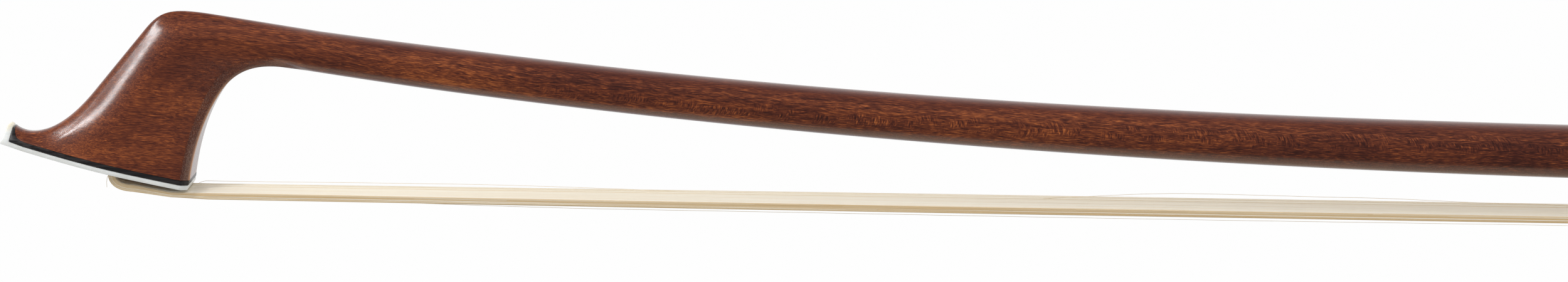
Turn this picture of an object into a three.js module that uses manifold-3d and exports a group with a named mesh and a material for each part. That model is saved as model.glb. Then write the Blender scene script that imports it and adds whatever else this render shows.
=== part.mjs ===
// A cello bow: a round stick with a carved head, a hank of hair, and a frog that a screw draws.
// Millimetres. +X runs from the head to the button, +Z is up, and the hair faces down.
// The ferrule's front edge stands at Z = 0 and the hair runs level above it.
import * as THREE from 'three';
import { mergeVertices } from 'three/addons/utils/BufferGeometryUtils.js';
import Module from 'manifold-3d';

const wasm = await Module();
wasm.setup();

// Driving dimensions of the whole bow
const overallLength = 714;
const frogDepth = 24.9; // from the handle's axis down to the frog's base
const hairWidthAtHead = 8.4;
const hairWidthAtFrog = 12.2;
const hairThickness = 1.1;

// Clearances between pieces
const workingGap = 0.3; // between pieces that slide, turn or are pushed together
const glueLine = 0.1; // between laminated layers
const overrun = 1; // how far a cutter runs past the face it opens

// Stick
const stickHeadDiameter = 6.2;
const stickHandleDiameter = 8.7;
const taperPower = 2.1;
const handleAcrossFlats = 8.8;
const octagonBlendLength = 13;
const camberLowHeight = 10.5; // axis above the ferrule's base where the stick comes nearest the hair
const camberLowFromTip = 307;
const camberRise = 12.45; // from the low point up to the axis at the head
const camberPower = 2.75;
const handleCamberLength = 180; // from the low point to where the handle runs straight
const nippleDiameter = 5.2;
const nippleLength = 2.2;

// Head, seen from the side
const headLength = 48; // from the beak to where the stick is round
const headHeight = 29; // from the ferrule's base to the crown of the head
const plateRearFromTip = 29; // the plate's rear end
const plateRearHeight = 3.46; // underside of the wood there
const crownTightness = 0.85; // how closely the crown's curve follows its two tangents
// Outlines of the head as shares of headLength from the tip and of headHeight
const crownStartShares = [0.667, 0.981];
const crownCornerShares = [0.515, 1.017];
const slopeTopShares = [0.454, 0.89];
const slopeFootShares = [0.292, 0.559];
const scoopControlShares = [0.186, 0.348];
const saddleShares = [0.098, 0.348];
const noseControlShares = [0.069, 0.348];
const noseTipShares = [0.046, 0.376];
const throatStartShares = [0.892, 0.71];
const throatCornerShares = [0.767, 0.74];
const throatTurnShares = [0.704, 0.59];
const throatFootShares = [0.629, 0.41];
const soleControlShares = [0.3417, 0.1993];
const soleFrontShares = [0.0792, 0.3017];
const noseTurnShares = [0.0505, 0.314];
const noseFrontShares = [0.0495, 0.338];

// Head, seen from the front and from below
const plateWidth = 10.4;
const noseWidth = 3.8;
const noseTopWidth = 1.9;
const ridgeWidth = 0.6;
const plateTaperLength = 20; // from the beak to the plate's full width
const plateTaperPower = 1.2;
const flareStartShare = 0.3; // along the head's bend
const flarePower = 1.3;
const cheekEndShare = 0.6; // of a section, where the cheek turns to the front
const frontCurvePower = 1.8;
const rearFlatThroatShare = 0.5; // of the half width at the throat
const rearFlatPlateShare = 0.72; // of the half width at the plate
const chamferAtThroat = 2.2;
const chamferAtPlate = 1.15;
const rearCheekShare = 0.96;
const headSections = 34;

// Plate under the head
const linerThickness = 0.7;
const facingThickness = 0.68;
const linerToeShares = [0.0302, 0.297];
const facingToeShares = [0, 0.284];
const facingBrowShares = [0.025, 0.38];
const facingCrestShares = [0.031, 0.402];
const facingCapShares = [0.046, 0.39];
const soleSteps = 12;
const noseSteps = 5;

// Mortise in the head
const headMortiseFront = 16.1; // from the beak
const headMortiseLength = 9.3;
const headMortiseWidth = 6;
const headMortiseTop = 12.5; // above the ferrule's base
const headKnotDiameter = 3.2;
const headWedgeTop = 8.2;

// Hair
const hairClearance = 0.8; // underside of the hank above the ferrule's base
const hairRidges = 12;
const hairRidgeDepth = 0.16;
const hairTurnThickness = 0.75; // where the hank is pressed under the plate's rear end
const hairMouthThickness = 1.2; // where it leaves the head's mortise
const hairBendDrop = 2.2; // from the mortise's mouth to the hank's lower bend
const hairSettleLength = 15; // from the bend to where the hank runs level

// Frog, along its own base from the ferrule's front edge
const frogLength = 50;
const frogGap = 3; // between the frog's heel and the stick's butt
const frogBaseWidth = 13.5;
const frogTopWidth = 10.6;
const frogBaseBevel = 0.4;
const frogCheekFoot = 3.4; // height where the sides start to lean in
const frogWaist = 17;
const frogHeelLean = 1.8;
const ferruleLength = 10.6;
const ferruleWidth = 14.2;
const ferruleHeight = 9.8;
const ferruleShoulder = 3.4; // height of the ferrule's upright sides
const ferruleWall = 0.5;
const tongueSetback = 1.2;
const thumbTipSetback = 5.8; // from the ferrule's front to the tip of the thumb projection
const thumbTipDepth = 4.5; // from the rails' top down to the underside of the tip
const throatRadius = 4.5;
const throatRearAngle = -0.75; // where the throat's arc meets the ferrule's shoulder, radians
const railDrop = 3; // from the handle's axis down to the rails' top
const heelPlateThickness = 0.7;
const heelPlateBaseLength = 7.7;
const heelPlateRise = 9.4;

// Slide, spreader wedge and mortise of the frog
const pearlSlideWidth = 7.8;
const pearlSlideThickness = 0.8;
const slideUndercut = 0.25; // how far the dovetail widens on each side
const slideBackingThickness = 1;
const slideTongueThickness = 0.6;
const slideTongueSetback = 3;
const frogMortiseFront = 21.5;
const frogMortiseLength = 10.5;
const frogMortiseWidth = 8;
const frogMortiseDepth = 11.4;
const frogKnotDiameter = 3.4;
const frogWedgeTop = 7.2;
const spreadWedgeLength = 7.9;
const spreadWedgeSetback = 0.6;
const spreadWedgeTop = 4.3;

// Underslide, eyelet and screw
const undersideThickness = 0.45; // of the metal lining in the frog's channel
const undersideSetback = 0.5;
const eyeletPlace = 24; // from the ferrule's front
const eyeletLength = 4.4;
const eyeletWidth = 4.8;
const eyeletTop = 2.5; // above the handle's axis
const eyeletShankDiameter = 3.4;
const eyeletShankLength = 7;
const screwDiameter = 3;
const screwTipDiameter = 2.2;
const screwThreadEnd = 42; // ahead of the stick's butt
const screwTipEnd = 54;
const slackTravel = 4; // frog's run towards the head
const tightTravel = 2; // frog's run towards the button
const mortiseEndPlay = 0.8;

// Eyes in the frog's sides
const eyePlace = 31;
const eyeHeight = 10.4;
const eyeRingDiameter = 7.8;
const eyeRingWidth = 0.9;
const eyeDepth = 0.9;
const eyeFacets = 24;

// Button
const buttonLength = 16.3;
const buttonDiameter = 9.4;
const buttonCapDiameter = 9.2;
const buttonCoreWidth = 8.9;
const buttonRingLength = 3.3;
const buttonCapLength = 4;
const buttonSpigotDiameter = 5.8;
const buttonSpigotLength = 1;
const buttonBevel = 0.4;
const buttonPearlDiameter = 5.2;
const buttonPearlThickness = 0.7;
const buttonTangDiameter = 2.2;
const buttonTangLength = 9.3;

// Leather and two-strand lapping on the handle
const leatherClearance = 1.3; // ahead of the frog's thumb tip with the hair slack
const leatherLength = 31;
const leatherThickness = 0.9;
const leatherEdgeThickness = 0.45;
const leatherEdgeLength = 3;
const lappingTurns = 20;
const lappingPitch = 2.9;
const lappingThickness = 0.5;
const lappingStepsPerTurn = 14;

// Facets
const halfRing = 12; // points on one side of the stick's section
const roundFacets = 20;

// Places worked out from the sizes above
const tipX = -overallLength / 2;
const headJointX = tipX + headLength;
const plateRearX = tipX + plateRearFromTip;
const camberLowX = tipX + camberLowFromTip;
const handleStartX = camberLowX + handleCamberLength;
const ferruleFront = frogLength + frogGap;
const leatherStart = ferruleFront - thumbTipSetback + slackTravel + leatherClearance;
const lappingStart = leatherStart + leatherLength + workingGap;
const strandWidth = lappingPitch / 2 - workingGap;
const lappingLength = (lappingTurns + 0.5) * lappingPitch + strandWidth;
const taperEndX = overallLength / 2 - buttonLength - lappingStart - lappingLength;
const handleTilt = solveHandleTilt();
const butt = buttPlace(handleTilt);

function buttPlace(tilt) {
  const x = overallLength / 2 - buttonLength * Math.cos(tilt) - buttonCapDiameter / 2 * Math.sin(tilt);
  const run = x - camberLowX - handleCamberLength / 2;
  return new THREE.Vector2(x, camberLowHeight + run * Math.tan(tilt));
}

// The straight handle leaves the camber's curve on a tangent that puts the ferrule's edge on Z = 0
function solveHandleTilt() {
  let tilt = 0;
  for (let round = 0; round < 8; round += 1) {
    const run = buttPlace(tilt).x - ferruleFront * Math.cos(tilt) - camberLowX - handleCamberLength / 2;
    tilt = Math.atan((frogDepth * Math.cos(tilt) - camberLowHeight) / run);
  }
  return tilt;
}

// Places along the handle count from the butt: ahead of it is negative, the button is positive
const handleFrame = new THREE.Matrix4().makeRotationY(-handleTilt).setPosition(butt.x, 0, butt.y);
const frogFrame = handleFrame.clone()
  .multiply(new THREE.Matrix4().makeTranslation(-ferruleFront, 0, -frogDepth));

function smooth(value) {
  const share = THREE.MathUtils.clamp(value, 0, 1);
  return share * share * (3 - 2 * share);
}

// Solids and meshes

function weld(geometry) {
  const bare = geometry.clone();
  for (const name of ['normal', 'uv']) {
    bare.deleteAttribute(name);
  }
  const merged = mergeVertices(bare);
  const kept = [];
  const index = merged.index.array;
  for (let i = 0; i < index.length; i += 3) {
    const [a, b, c] = [index[i], index[i + 1], index[i + 2]];
    if (a !== b && b !== c && c !== a) {
      kept.push(a, b, c);
    }
  }
  merged.setIndex(kept);
  return merged;
}

function toSolid(geometry) {
  const merged = weld(geometry);
  const vertProperties = Float32Array.from(merged.attributes.position.array);
  const triVerts = Uint32Array.from(merged.index.array);
  return new wasm.Manifold(new wasm.Mesh({ numProp: 3, vertProperties, triVerts }));
}

function toGeometry(solid) {
  const mesh = solid.getMesh();
  const geometry = new THREE.BufferGeometry();
  geometry.setAttribute('position', new THREE.BufferAttribute(mesh.vertProperties, 3));
  geometry.setIndex(Array.from(mesh.triVerts));
  return geometry;
}

function cut(geometry, cutters) {
  const whole = cutters.reduce((solid, cutter) => solid.subtract(toSolid(cutter)), toSolid(geometry));
  return toGeometry(whole);
}

function join(geometry, others) {
  return toGeometry(others.reduce((solid, other) => solid.add(toSolid(other)), toSolid(geometry)));
}

function common(first, second) {
  return toGeometry(toSolid(first).intersect(toSolid(second)));
}

// A skin through rings that mirror about the middle plane: point i faces point count - 1 - i
function loft(rings) {
  const count = rings[0].length;
  const position = rings.flat().flatMap((point) => point.toArray());
  const index = [];
  for (let ring = 0; ring + 1 < rings.length; ring += 1) {
    for (let i = 0; i < count; i += 1) {
      const a = ring * count + i;
      const b = ring * count + (i + 1) % count;
      index.push(a, b, b + count, a, b + count, a + count);
    }
  }
  const last = (rings.length - 1) * count;
  for (let i = 0; i + 1 < count / 2; i += 1) {
    const [a, b, c, d] = [i, i + 1, count - 2 - i, count - 1 - i];
    index.push(a, c, b, a, d, c);
    index.push(last + a, last + b, last + c, last + a, last + c, last + d);
  }
  const geometry = new THREE.BufferGeometry();
  geometry.setAttribute('position', new THREE.Float32BufferAttribute(position, 3));
  geometry.setIndex(index);
  return geometry;
}

function shapeOf(points) {
  return new THREE.Shape(points.map(([x, y]) => new THREE.Vector2(x, y)));
}

// An outline of (y, z) points carried along X
function barAlongX(shape, from, to) {
  const geometry = new THREE.ExtrudeGeometry(shape, { depth: to - from, bevelEnabled: false });
  const axes = new THREE.Matrix4().makeBasis(
    new THREE.Vector3(0, 1, 0),
    new THREE.Vector3(0, 0, 1),
    new THREE.Vector3(1, 0, 0),
  );
  return geometry.applyMatrix4(axes).translate(from, 0, 0);
}

// An outline of (x, z) points carried across Y, the same on both sides of the middle plane
function barAcrossY(shape, width) {
  const geometry = new THREE.ExtrudeGeometry(shape, { depth: width, bevelEnabled: false });
  return geometry.translate(0, 0, -width / 2).rotateX(Math.PI / 2);
}

// A box from two opposite corners
function block([x0, y0, z0], [x1, y1, z1]) {
  const geometry = new THREE.BoxGeometry(x1 - x0, y1 - y0, z1 - z0);
  return geometry.translate((x0 + x1) / 2, (y0 + y1) / 2, (z0 + z1) / 2);
}

// A profile of [place, radius] points turned about the X axis
function turned(profile, facets, phase = 0) {
  const points = profile.map(([place, radius]) => new THREE.Vector2(radius, place));
  return new THREE.LatheGeometry(points, facets, phase).rotateZ(-Math.PI / 2);
}

function rod(from, to, radius, facets = roundFacets) {
  return turned([[from, 0], [from, radius], [to, radius], [to, 0]], facets);
}

// Materials

function material(color, roughness, metalness = 0) {
  return new THREE.MeshStandardMaterial({ color, roughness, metalness });
}

const looks = {
  wood: material(0x69372a, 0.4),
  liner: material(0x343234, 0.55),
  facing: material(0xe9e8e3, 0.35),
  hair: material(0xd8c6a6, 0.6),
  thread: material(0xefe6d2, 0.8),
  plug: material(0xb98f5c, 0.7),
  leather: material(0x241d1b, 0.65),
  pale: material(0xd9cba6, 0.45),
  dark: material(0x2b2420, 0.45),
  ebony: material(0x1b1918, 0.35),
  silver: material(0xc9c8c4, 0.3, 1),
  brass: material(0xc2a35a, 0.35, 1),
  steel: material(0x9b9c9f, 0.35, 1),
  pearl: material(0xdfe4e0, 0.2),
};

const bow = new THREE.Group();
const frog = new THREE.Group();
const screwSet = new THREE.Group();
frog.applyMatrix4(frogFrame);
screwSet.applyMatrix4(handleFrame);
bow.add(frog, screwSet);

function addPiece(group, name, geometry, look) {
  const mesh = new THREE.Mesh(weld(geometry), look);
  mesh.name = name;
  group.add(mesh);
  return mesh;
}

// Stick

// Height and slope of the stick's axis above the ferrule's base
function axisAt(x) {
  if (x < camberLowX) {
    const reach = camberLowX - headJointX;
    const share = (camberLowX - x) / reach;
    return {
      z: camberLowHeight + camberRise * share ** camberPower,
      slope: -camberRise * camberPower * share ** (camberPower - 1) / reach,
    };
  }
  const rise = Math.tan(handleTilt);
  if (x < handleStartX) {
    const run = x - camberLowX;
    return { z: camberLowHeight + rise * run * run / handleCamberLength / 2, slope: rise * run / handleCamberLength };
  }
  return { z: camberLowHeight + rise * (x - camberLowX - handleCamberLength / 2), slope: rise };
}

function stickRadius(x) {
  const share = THREE.MathUtils.clamp((taperEndX - x) / (taperEndX - headJointX), 0, 1);
  return (stickHandleDiameter - (stickHandleDiameter - stickHeadDiameter) * share ** taperPower) / 2;
}

// The angle of a ring's point, from the hair's side to the back
function ringAngle(i) {
  return Math.PI * (i + 0.5) / halfRing;
}

// Radius of the handle's octagon in the direction of an angle, its flats up, down and to the sides
function octagonRadius(angle) {
  const facet = Math.PI / 4;
  const fromFlat = ((angle + facet / 2) % facet) - facet / 2;
  return handleAcrossFlats / 2 / Math.cos(fromFlat);
}

function handleRadius(angle, place) {
  const share = smooth((place + leatherStart + leatherLength) / octagonBlendLength);
  return THREE.MathUtils.lerp(stickHandleDiameter / 2, octagonRadius(angle), share);
}

function mirrored(half) {
  const other = half.map((point) => new THREE.Vector3(point.x, -point.y, point.z)).reverse();
  return half.concat(other);
}

// A point beside the stick's axis at x, its angle counted from the hair's side
function besideAxis(x, angle, radius) {
  const { z, slope } = axisAt(x);
  const tilt = Math.atan(slope);
  const up = -Math.cos(angle) * radius;
  return new THREE.Vector3(x - Math.sin(tilt) * up, Math.sin(angle) * radius, z + Math.cos(tilt) * up);
}

function stickRing(x, radiusAt) {
  const half = [];
  for (let i = 0; i < halfRing; i += 1) {
    const angle = ringAngle(i);
    half.push(besideAxis(x, angle, radiusAt(angle)));
  }
  return mirrored(half);
}

function handleRing(place, margin) {
  const x = butt.x + place * Math.cos(handleTilt);
  return stickRing(x, (angle) => handleRadius(angle, place) + margin);
}

// Head: side view

function headPoint([lengthShare, heightShare]) {
  return new THREE.Vector2(tipX + lengthShare * headLength, heightShare * headHeight);
}

function pathThrough(curves) {
  const path = new THREE.CurvePath();
  curves.forEach((curve) => path.add(curve));
  return path;
}

function line(from, to) {
  return new THREE.LineCurve(from, to);
}

function bend(from, control, to) {
  return new THREE.QuadraticBezierCurve(from, control, to);
}

function headEnd(sign) {
  const { z, slope } = axisAt(headJointX);
  const tilt = Math.atan(slope);
  const radius = sign * stickRadius(headJointX);
  return new THREE.Vector2(headJointX - Math.sin(tilt) * radius, z + Math.cos(tilt) * radius);
}

const crownStart = headPoint(crownStartShares);
const crownCorner = headPoint(crownCornerShares);
const slopeTop = headPoint(slopeTopShares);
const noseTip = headPoint(noseTipShares);
const plateRear = new THREE.Vector2(plateRearX, plateRearHeight);

// Crown, front slope, scoop and nose
const outerPath = pathThrough([
  line(headEnd(1), crownStart),
  new THREE.CubicBezierCurve(
    crownStart,
    crownStart.clone().lerp(crownCorner, crownTightness),
    slopeTop.clone().lerp(crownCorner, crownTightness),
    slopeTop,
  ),
  line(slopeTop, headPoint(slopeFootShares)),
  bend(headPoint(slopeFootShares), headPoint(scoopControlShares), headPoint(saddleShares)),
  bend(headPoint(saddleShares), headPoint(noseControlShares), noseTip),
]);

// Throat and back of the head
const innerPath = pathThrough([
  line(headEnd(-1), headPoint(throatStartShares)),
  bend(headPoint(throatStartShares), headPoint(throatCornerShares), headPoint(throatTurnShares)),
  bend(headPoint(throatTurnShares), headPoint(throatFootShares), plateRear),
]);

// Sole of the head, which the plate covers, and the front of its nose
const solePath = bend(plateRear, headPoint(soleControlShares), headPoint(soleFrontShares));
const nosePath = pathThrough([
  bend(headPoint(soleFrontShares), headPoint(noseTurnShares), headPoint(noseFrontShares)),
  line(headPoint(noseFrontShares), noseTip),
]);
const endPath = pathThrough([solePath, ...nosePath.curves]);

// A point of the head's side view between its four edges: along the bend, and from throat to ridge
function sidePoint(along, across) {
  const inner = innerPath.getPointAt(along);
  const outer = outerPath.getPointAt(along);
  const start = headEnd(-1).lerp(headEnd(1), across);
  const end = endPath.getPointAt(across);
  const corners = headEnd(-1).lerp(headEnd(1), across).multiplyScalar(1 - along)
    .addScaledVector(plateRear.clone().lerp(noseTip, across), along);
  return inner.lerp(outer, across)
    .addScaledVector(start, 1 - along)
    .addScaledVector(end, along)
    .sub(corners);
}

// Head: widths

// Half width of the plate at a distance from the beak's tip
function plateHalfWidth(fromTip) {
  const share = Math.sin(Math.PI / 2 * THREE.MathUtils.clamp(fromTip / plateTaperLength, 0, 1));
  return (noseWidth + (plateWidth - noseWidth) * share ** plateTaperPower) / 2;
}

function cheekHalfWidth(along) {
  const flare = smooth((along - flareStartShare) / (1 - flareStartShare)) ** flarePower;
  return THREE.MathUtils.lerp(stickRadius(headJointX), plateWidth / 2, flare);
}

// One side of a section of the head: how far across it each point lies, and its half width
function headHalfSection(along) {
  const cheek = cheekHalfWidth(along);
  const length = innerPath.getPointAt(along).distanceTo(outerPath.getPointAt(along));
  const chamfer = THREE.MathUtils.lerp(chamferAtThroat, chamferAtPlate, smooth(along)) / length;
  const flat = cheek * THREE.MathUtils.lerp(rearFlatThroatShare, rearFlatPlateShare, smooth(along));
  const rearBlend = smooth(along / flareStartShare);
  const frontBlend = smooth((along - flareStartShare / 2) / flareStartShare);
  const plateBlend = smooth((along - 1 + flareStartShare) / flareStartShare);
  const points = [];
  for (let i = 0; i < halfRing; i += 1) {
    const angle = ringAngle(i);
    const round = { across: (1 - Math.cos(angle)) / 2, width: stickRadius(headJointX) * Math.sin(angle) };
    const carved = carvedPoint(i, { cheek, chamfer, flat, plateBlend, along });
    const blend = THREE.MathUtils.lerp(rearBlend, frontBlend, i / (halfRing - 1));
    points.push({
      across: THREE.MathUtils.lerp(round.across, carved.across, blend),
      width: THREE.MathUtils.lerp(round.width, carved.width, blend),
    });
  }
  return points;
}

// Points 0 and 1 bound the rear chamfer, the next ones lie on the cheek and the rest on the front
function carvedPoint(i, { cheek, chamfer, flat, plateBlend, along }) {
  const cheekPoints = halfRing / 2;
  if (i === 0) {
    return { across: 0, width: flat };
  }
  if (i < cheekPoints) {
    const share = (i - 1) / (cheekPoints - 1);
    const across = THREE.MathUtils.lerp(chamfer, cheekEndShare, share);
    const width = cheek * THREE.MathUtils.lerp(rearCheekShare, 1, smooth(share * 2));
    return { across, width: THREE.MathUtils.lerp(width, soleHalfWidth(across), plateBlend) };
  }
  const share = (i + 1 - cheekPoints) / (halfRing - cheekPoints);
  const across = THREE.MathUtils.lerp(cheekEndShare, 1, share);
  const ridge = THREE.MathUtils.lerp(ridgeWidth, noseTopWidth, smooth(along * 2 - 1)) / 2;
  const width = THREE.MathUtils.lerp(cheek, ridge, share ** frontCurvePower);
  return { across, width: THREE.MathUtils.lerp(width, soleHalfWidth(across), plateBlend) };
}

// Half width of the wood where it meets the plate: along the sole, then up the front of the nose
function soleHalfWidth(across) {
  const place = endPath.getPointAt(across);
  const soleFront = headPoint(soleFrontShares);
  const rise = THREE.MathUtils.clamp((place.y - soleFront.y) / (noseTip.y - soleFront.y), 0, 1);
  const onSole = plateHalfWidth(place.x - tipX);
  return place.x > soleFront.x ? onSole : THREE.MathUtils.lerp(onSole, noseTopWidth / 2, rise);
}

function headRing(along) {
  const half = headHalfSection(along).map(({ across, width }) => {
    const { x, y } = sidePoint(along, across);
    return new THREE.Vector3(x, width, y);
  });
  return mirrored(half);
}

const shaftPlaces = [];
const shaftSteps = 30;
for (let step = 1; step <= shaftSteps; step += 1) {
  shaftPlaces.push(THREE.MathUtils.lerp(headJointX, handleStartX, step / shaftSteps));
}
const octagonStart = -leatherStart - leatherLength;
const handlePlaces = [octagonStart];
const octagonSteps = 3;
for (let step = 1; step <= octagonSteps; step += 1) {
  handlePlaces.push(octagonStart + octagonBlendLength * step / octagonSteps);
}
handlePlaces.push(0);

const stickRings = [];
for (let section = headSections; section >= 0; section -= 1) {
  stickRings.push(headRing(section / headSections));
}
shaftPlaces.forEach((x) => stickRings.push(stickRing(x, () => stickRadius(x))));
handlePlaces.forEach((place) => stickRings.push(handleRing(place, 0)));

function onHandle(geometry) {
  return geometry.applyMatrix4(handleFrame);
}

const eyeletPlaceOnHandle = eyeletPlace - ferruleFront;
const mortiseStart = eyeletPlaceOnHandle - eyeletLength / 2 - slackTravel - mortiseEndPlay;
const mortiseEnd = eyeletPlaceOnHandle + eyeletLength / 2 + tightTravel + mortiseEndPlay;
const mortiseHalfWidth = eyeletWidth / 2 + workingGap;
const stickMortise = block(
  [mortiseStart, -mortiseHalfWidth, -handleAcrossFlats / 2 - overrun],
  [mortiseEnd, mortiseHalfWidth, eyeletTop + workingGap],
);
const screwBore = rod(-screwThreadEnd - workingGap, nippleLength + overrun, screwDiameter / 2 + workingGap);
const tipBore = rod(-screwTipEnd - workingGap, -screwThreadEnd, screwTipDiameter / 2 + workingGap);
const nipple = rod(-overrun, nippleLength, nippleDiameter / 2);

const headMortiseHalf = headMortiseWidth / 2;
const headMortiseFrontX = tipX + headMortiseFront;
const headMortise = block(
  [headMortiseFrontX, -headMortiseHalf, 0],
  [headMortiseFrontX + headMortiseLength, headMortiseHalf, headMortiseTop],
);

const plainStick = join(loft(stickRings), [onHandle(nipple)]);
addPiece(bow, 'stick', cut(plainStick, [
  headMortise, onHandle(stickMortise), onHandle(screwBore), onHandle(tipBore),
]), looks.wood);

// Plate: two layers that follow the sole and turn up over the nose

// Points along the sole and up the front of the nose, moved out from the wood
function wrapPoints(drop, withNose) {
  const points = [];
  const follow = (path, steps, first) => {
    for (let step = first; step <= steps; step += 1) {
      const tangent = path.getTangentAt(step / steps);
      const out = new THREE.Vector2(-tangent.y, tangent.x);
      points.push(path.getPointAt(step / steps).addScaledVector(out, drop));
    }
  };
  follow(solePath, soleSteps, 0);
  if (withNose) {
    follow(nosePath, noseSteps, 1);
  }
  return points;
}

const linerToe = headPoint(linerToeShares);
const linerOutline = new THREE.Shape([
  ...wrapPoints(glueLine, true),
  linerToe,
  ...wrapPoints(glueLine + linerThickness, false).reverse(),
]);
const facingTop = 2 * glueLine + linerThickness;
const plateThickness = facingTop + facingThickness;
const facingOutline = new THREE.Shape([
  ...wrapPoints(facingTop, false),
  new THREE.Vector2(linerToe.x - glueLine, linerToe.y - glueLine),
  headPoint(facingCapShares),
  headPoint(facingCrestShares),
  headPoint(facingBrowShares),
  headPoint(facingToeShares),
  ...wrapPoints(plateThickness, false).reverse(),
]);

// The plate's outline from below, with the rear corners cut back as the head's are
const plateSide = [new THREE.Vector2(plateRearX, rearFlatPlateShare * plateWidth / 2)];
const plateFullX = plateRearX - chamferAtPlate;
for (let step = 0; step <= soleSteps; step += 1) {
  const x = THREE.MathUtils.lerp(plateFullX, tipX, step / soleSteps);
  plateSide.push(new THREE.Vector2(x, plateHalfWidth(x - tipX)));
}
const plateOutline = new THREE.Shape([
  ...plateSide,
  ...plateSide.map(({ x, y }) => new THREE.Vector2(x, -y)).reverse(),
]);
const plateBlank = new THREE.ExtrudeGeometry(plateOutline, { depth: headHeight, bevelEnabled: false });
const plateWindow = block(
  [headMortiseFrontX - workingGap, -headMortiseHalf - workingGap, 0],
  [headMortiseFrontX + headMortiseLength, headMortiseHalf + workingGap, headMortiseTop],
);

function plateLayer(outline) {
  return cut(common(barAcrossY(outline, plateWidth), plateBlank), [plateWindow]);
}

addPiece(bow, 'head_liner', plateLayer(linerOutline), looks.liner);
addPiece(bow, 'head_plate', plateLayer(facingOutline), looks.facing);

// Height of the sole at x: its control point lies midway, so x runs evenly along it
function soleHeight(x) {
  const share = (x - plateRear.x) / (headPoint(soleFrontShares).x - plateRear.x);
  return solePath.getPoint(share).y;
}

// Hair, its bound ends and the plugs that hold them

// A bound end of the hank, lying along X
function knot(length, diameter) {
  const reach = length / 2;
  const radius = diameter / 2;
  const waistShare = 0.86;
  const bindShare = 0.35;
  return turned([
    [-reach, 0], [-reach, radius * waistShare], [-reach * bindShare, radius],
    [reach * bindShare, radius], [reach, radius * waistShare], [reach, 0],
  ], roundFacets);
}

const headKnotHeight = headMortiseTop - workingGap - headKnotDiameter / 2;
const headKnot = knot(headMortiseLength - 2 * workingGap, headKnotDiameter)
  .translate(headMortiseFrontX + headMortiseLength / 2, 0, headKnotHeight);
addPiece(bow, 'head_knot', headKnot, looks.thread);

const headWedgeFront = headMortiseFrontX + hairMouthThickness + 2 * workingGap;
const headWedgeRear = headMortiseFrontX + headMortiseLength - workingGap;
const headWedgeOutline = shapeOf([
  [headWedgeFront, soleHeight(headWedgeFront) - plateThickness],
  [headWedgeRear, soleHeight(headWedgeRear) - plateThickness],
  [headWedgeRear, headWedgeTop],
  [headWedgeFront, headWedgeTop],
]);
const headWedge = barAcrossY(headWedgeOutline, headMortiseWidth - 2 * workingGap);
addPiece(bow, 'head_wedge', headWedge, looks.plug);

// Stops of the hank's middle line, each with the curve that leads to it
const hairLevel = hairClearance + hairThickness / 2;
const mouthX = headMortiseFrontX + workingGap + hairMouthThickness / 2;
const mouthHeight = soleHeight(mouthX) - plateThickness;
const bendHeight = mouthHeight - hairBendDrop;
const bendEndX = mouthX + hairMouthThickness + hairBendDrop;
const hairStart = new THREE.Vector2(mouthX, headKnotHeight - headKnotDiameter / 2 - workingGap);
const hairMouth = new THREE.Vector2(mouthX, mouthHeight);
const hairBend = new THREE.Vector2(bendEndX, bendHeight);
const hairSettled = new THREE.Vector2(mouthX + hairSettleLength, hairLevel);
const hairPinch = new THREE.Vector2((bendEndX + hairSettled.x) / 2, hairLevel + workingGap / 2);

function onFrog(place, height) {
  const { x, z } = new THREE.Vector3(place, 0, height).applyMatrix4(frogFrame);
  return new THREE.Vector2(x, z);
}

const slideTop = pearlSlideThickness + glueLine + slideBackingThickness;
const hairInFrog = slideTop + workingGap + hairThickness / 2;
const hairOverTongue = ferruleWall + 2 * workingGap + slideTongueThickness + hairThickness / 2;
const frogMortiseRear = frogMortiseFront + frogMortiseLength;
const frogTurn = frogMortiseRear - workingGap - hairMouthThickness / 2;
const frogKnotHeight = frogMortiseDepth - workingGap - frogKnotDiameter / 2;
const hairFrogEnd = frogKnotHeight - frogKnotDiameter / 2 - workingGap;
const ferruleMouth = onFrog(0, hairLevel);
const overTongue = onFrog(slideTongueSetback, hairOverTongue);
const pastFerrule = onFrog(ferruleLength + workingGap, hairInFrog);
const beforeTurn = onFrog(frogTurn - hairBendDrop, hairInFrog);
const afterTurn = onFrog(frogTurn, hairInFrog + hairBendDrop);
const hairEnd = onFrog(frogTurn, hairFrogEnd);
const mortiseHairWidth = headMortiseWidth - 2 * workingGap;
const frogHairWidth = frogMortiseWidth - 2 * workingGap;
const bendWidth = (mortiseHairWidth + hairWidthAtHead) / 2;

const hairStops = [
  { curve: line(hairStart, hairMouth), steps: 1, width: mortiseHairWidth, thickness: hairMouthThickness },
  {
    curve: bend(hairMouth, new THREE.Vector2(mouthX, bendHeight), hairBend),
    steps: 5, width: bendWidth, thickness: hairMouthThickness,
  },
  { curve: line(hairBend, hairPinch), steps: 2, width: hairWidthAtHead, thickness: hairTurnThickness },
  { curve: line(hairPinch, hairSettled), steps: 2, width: hairWidthAtHead, thickness: hairThickness },
  { curve: line(hairSettled, ferruleMouth), steps: 6, width: hairWidthAtFrog, thickness: hairThickness },
  { curve: line(ferruleMouth, overTongue), steps: 1, width: hairWidthAtFrog, thickness: hairThickness },
  { curve: line(overTongue, pastFerrule), steps: 1, width: frogHairWidth, thickness: hairThickness },
  { curve: line(pastFerrule, beforeTurn), steps: 1, width: frogHairWidth, thickness: hairThickness },
  {
    curve: bend(beforeTurn, onFrog(frogTurn, hairInFrog), afterTurn),
    steps: 4, width: frogHairWidth, thickness: hairMouthThickness,
  },
  { curve: line(afterTurn, hairEnd), steps: 1, width: frogHairWidth, thickness: hairMouthThickness },
];

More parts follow.
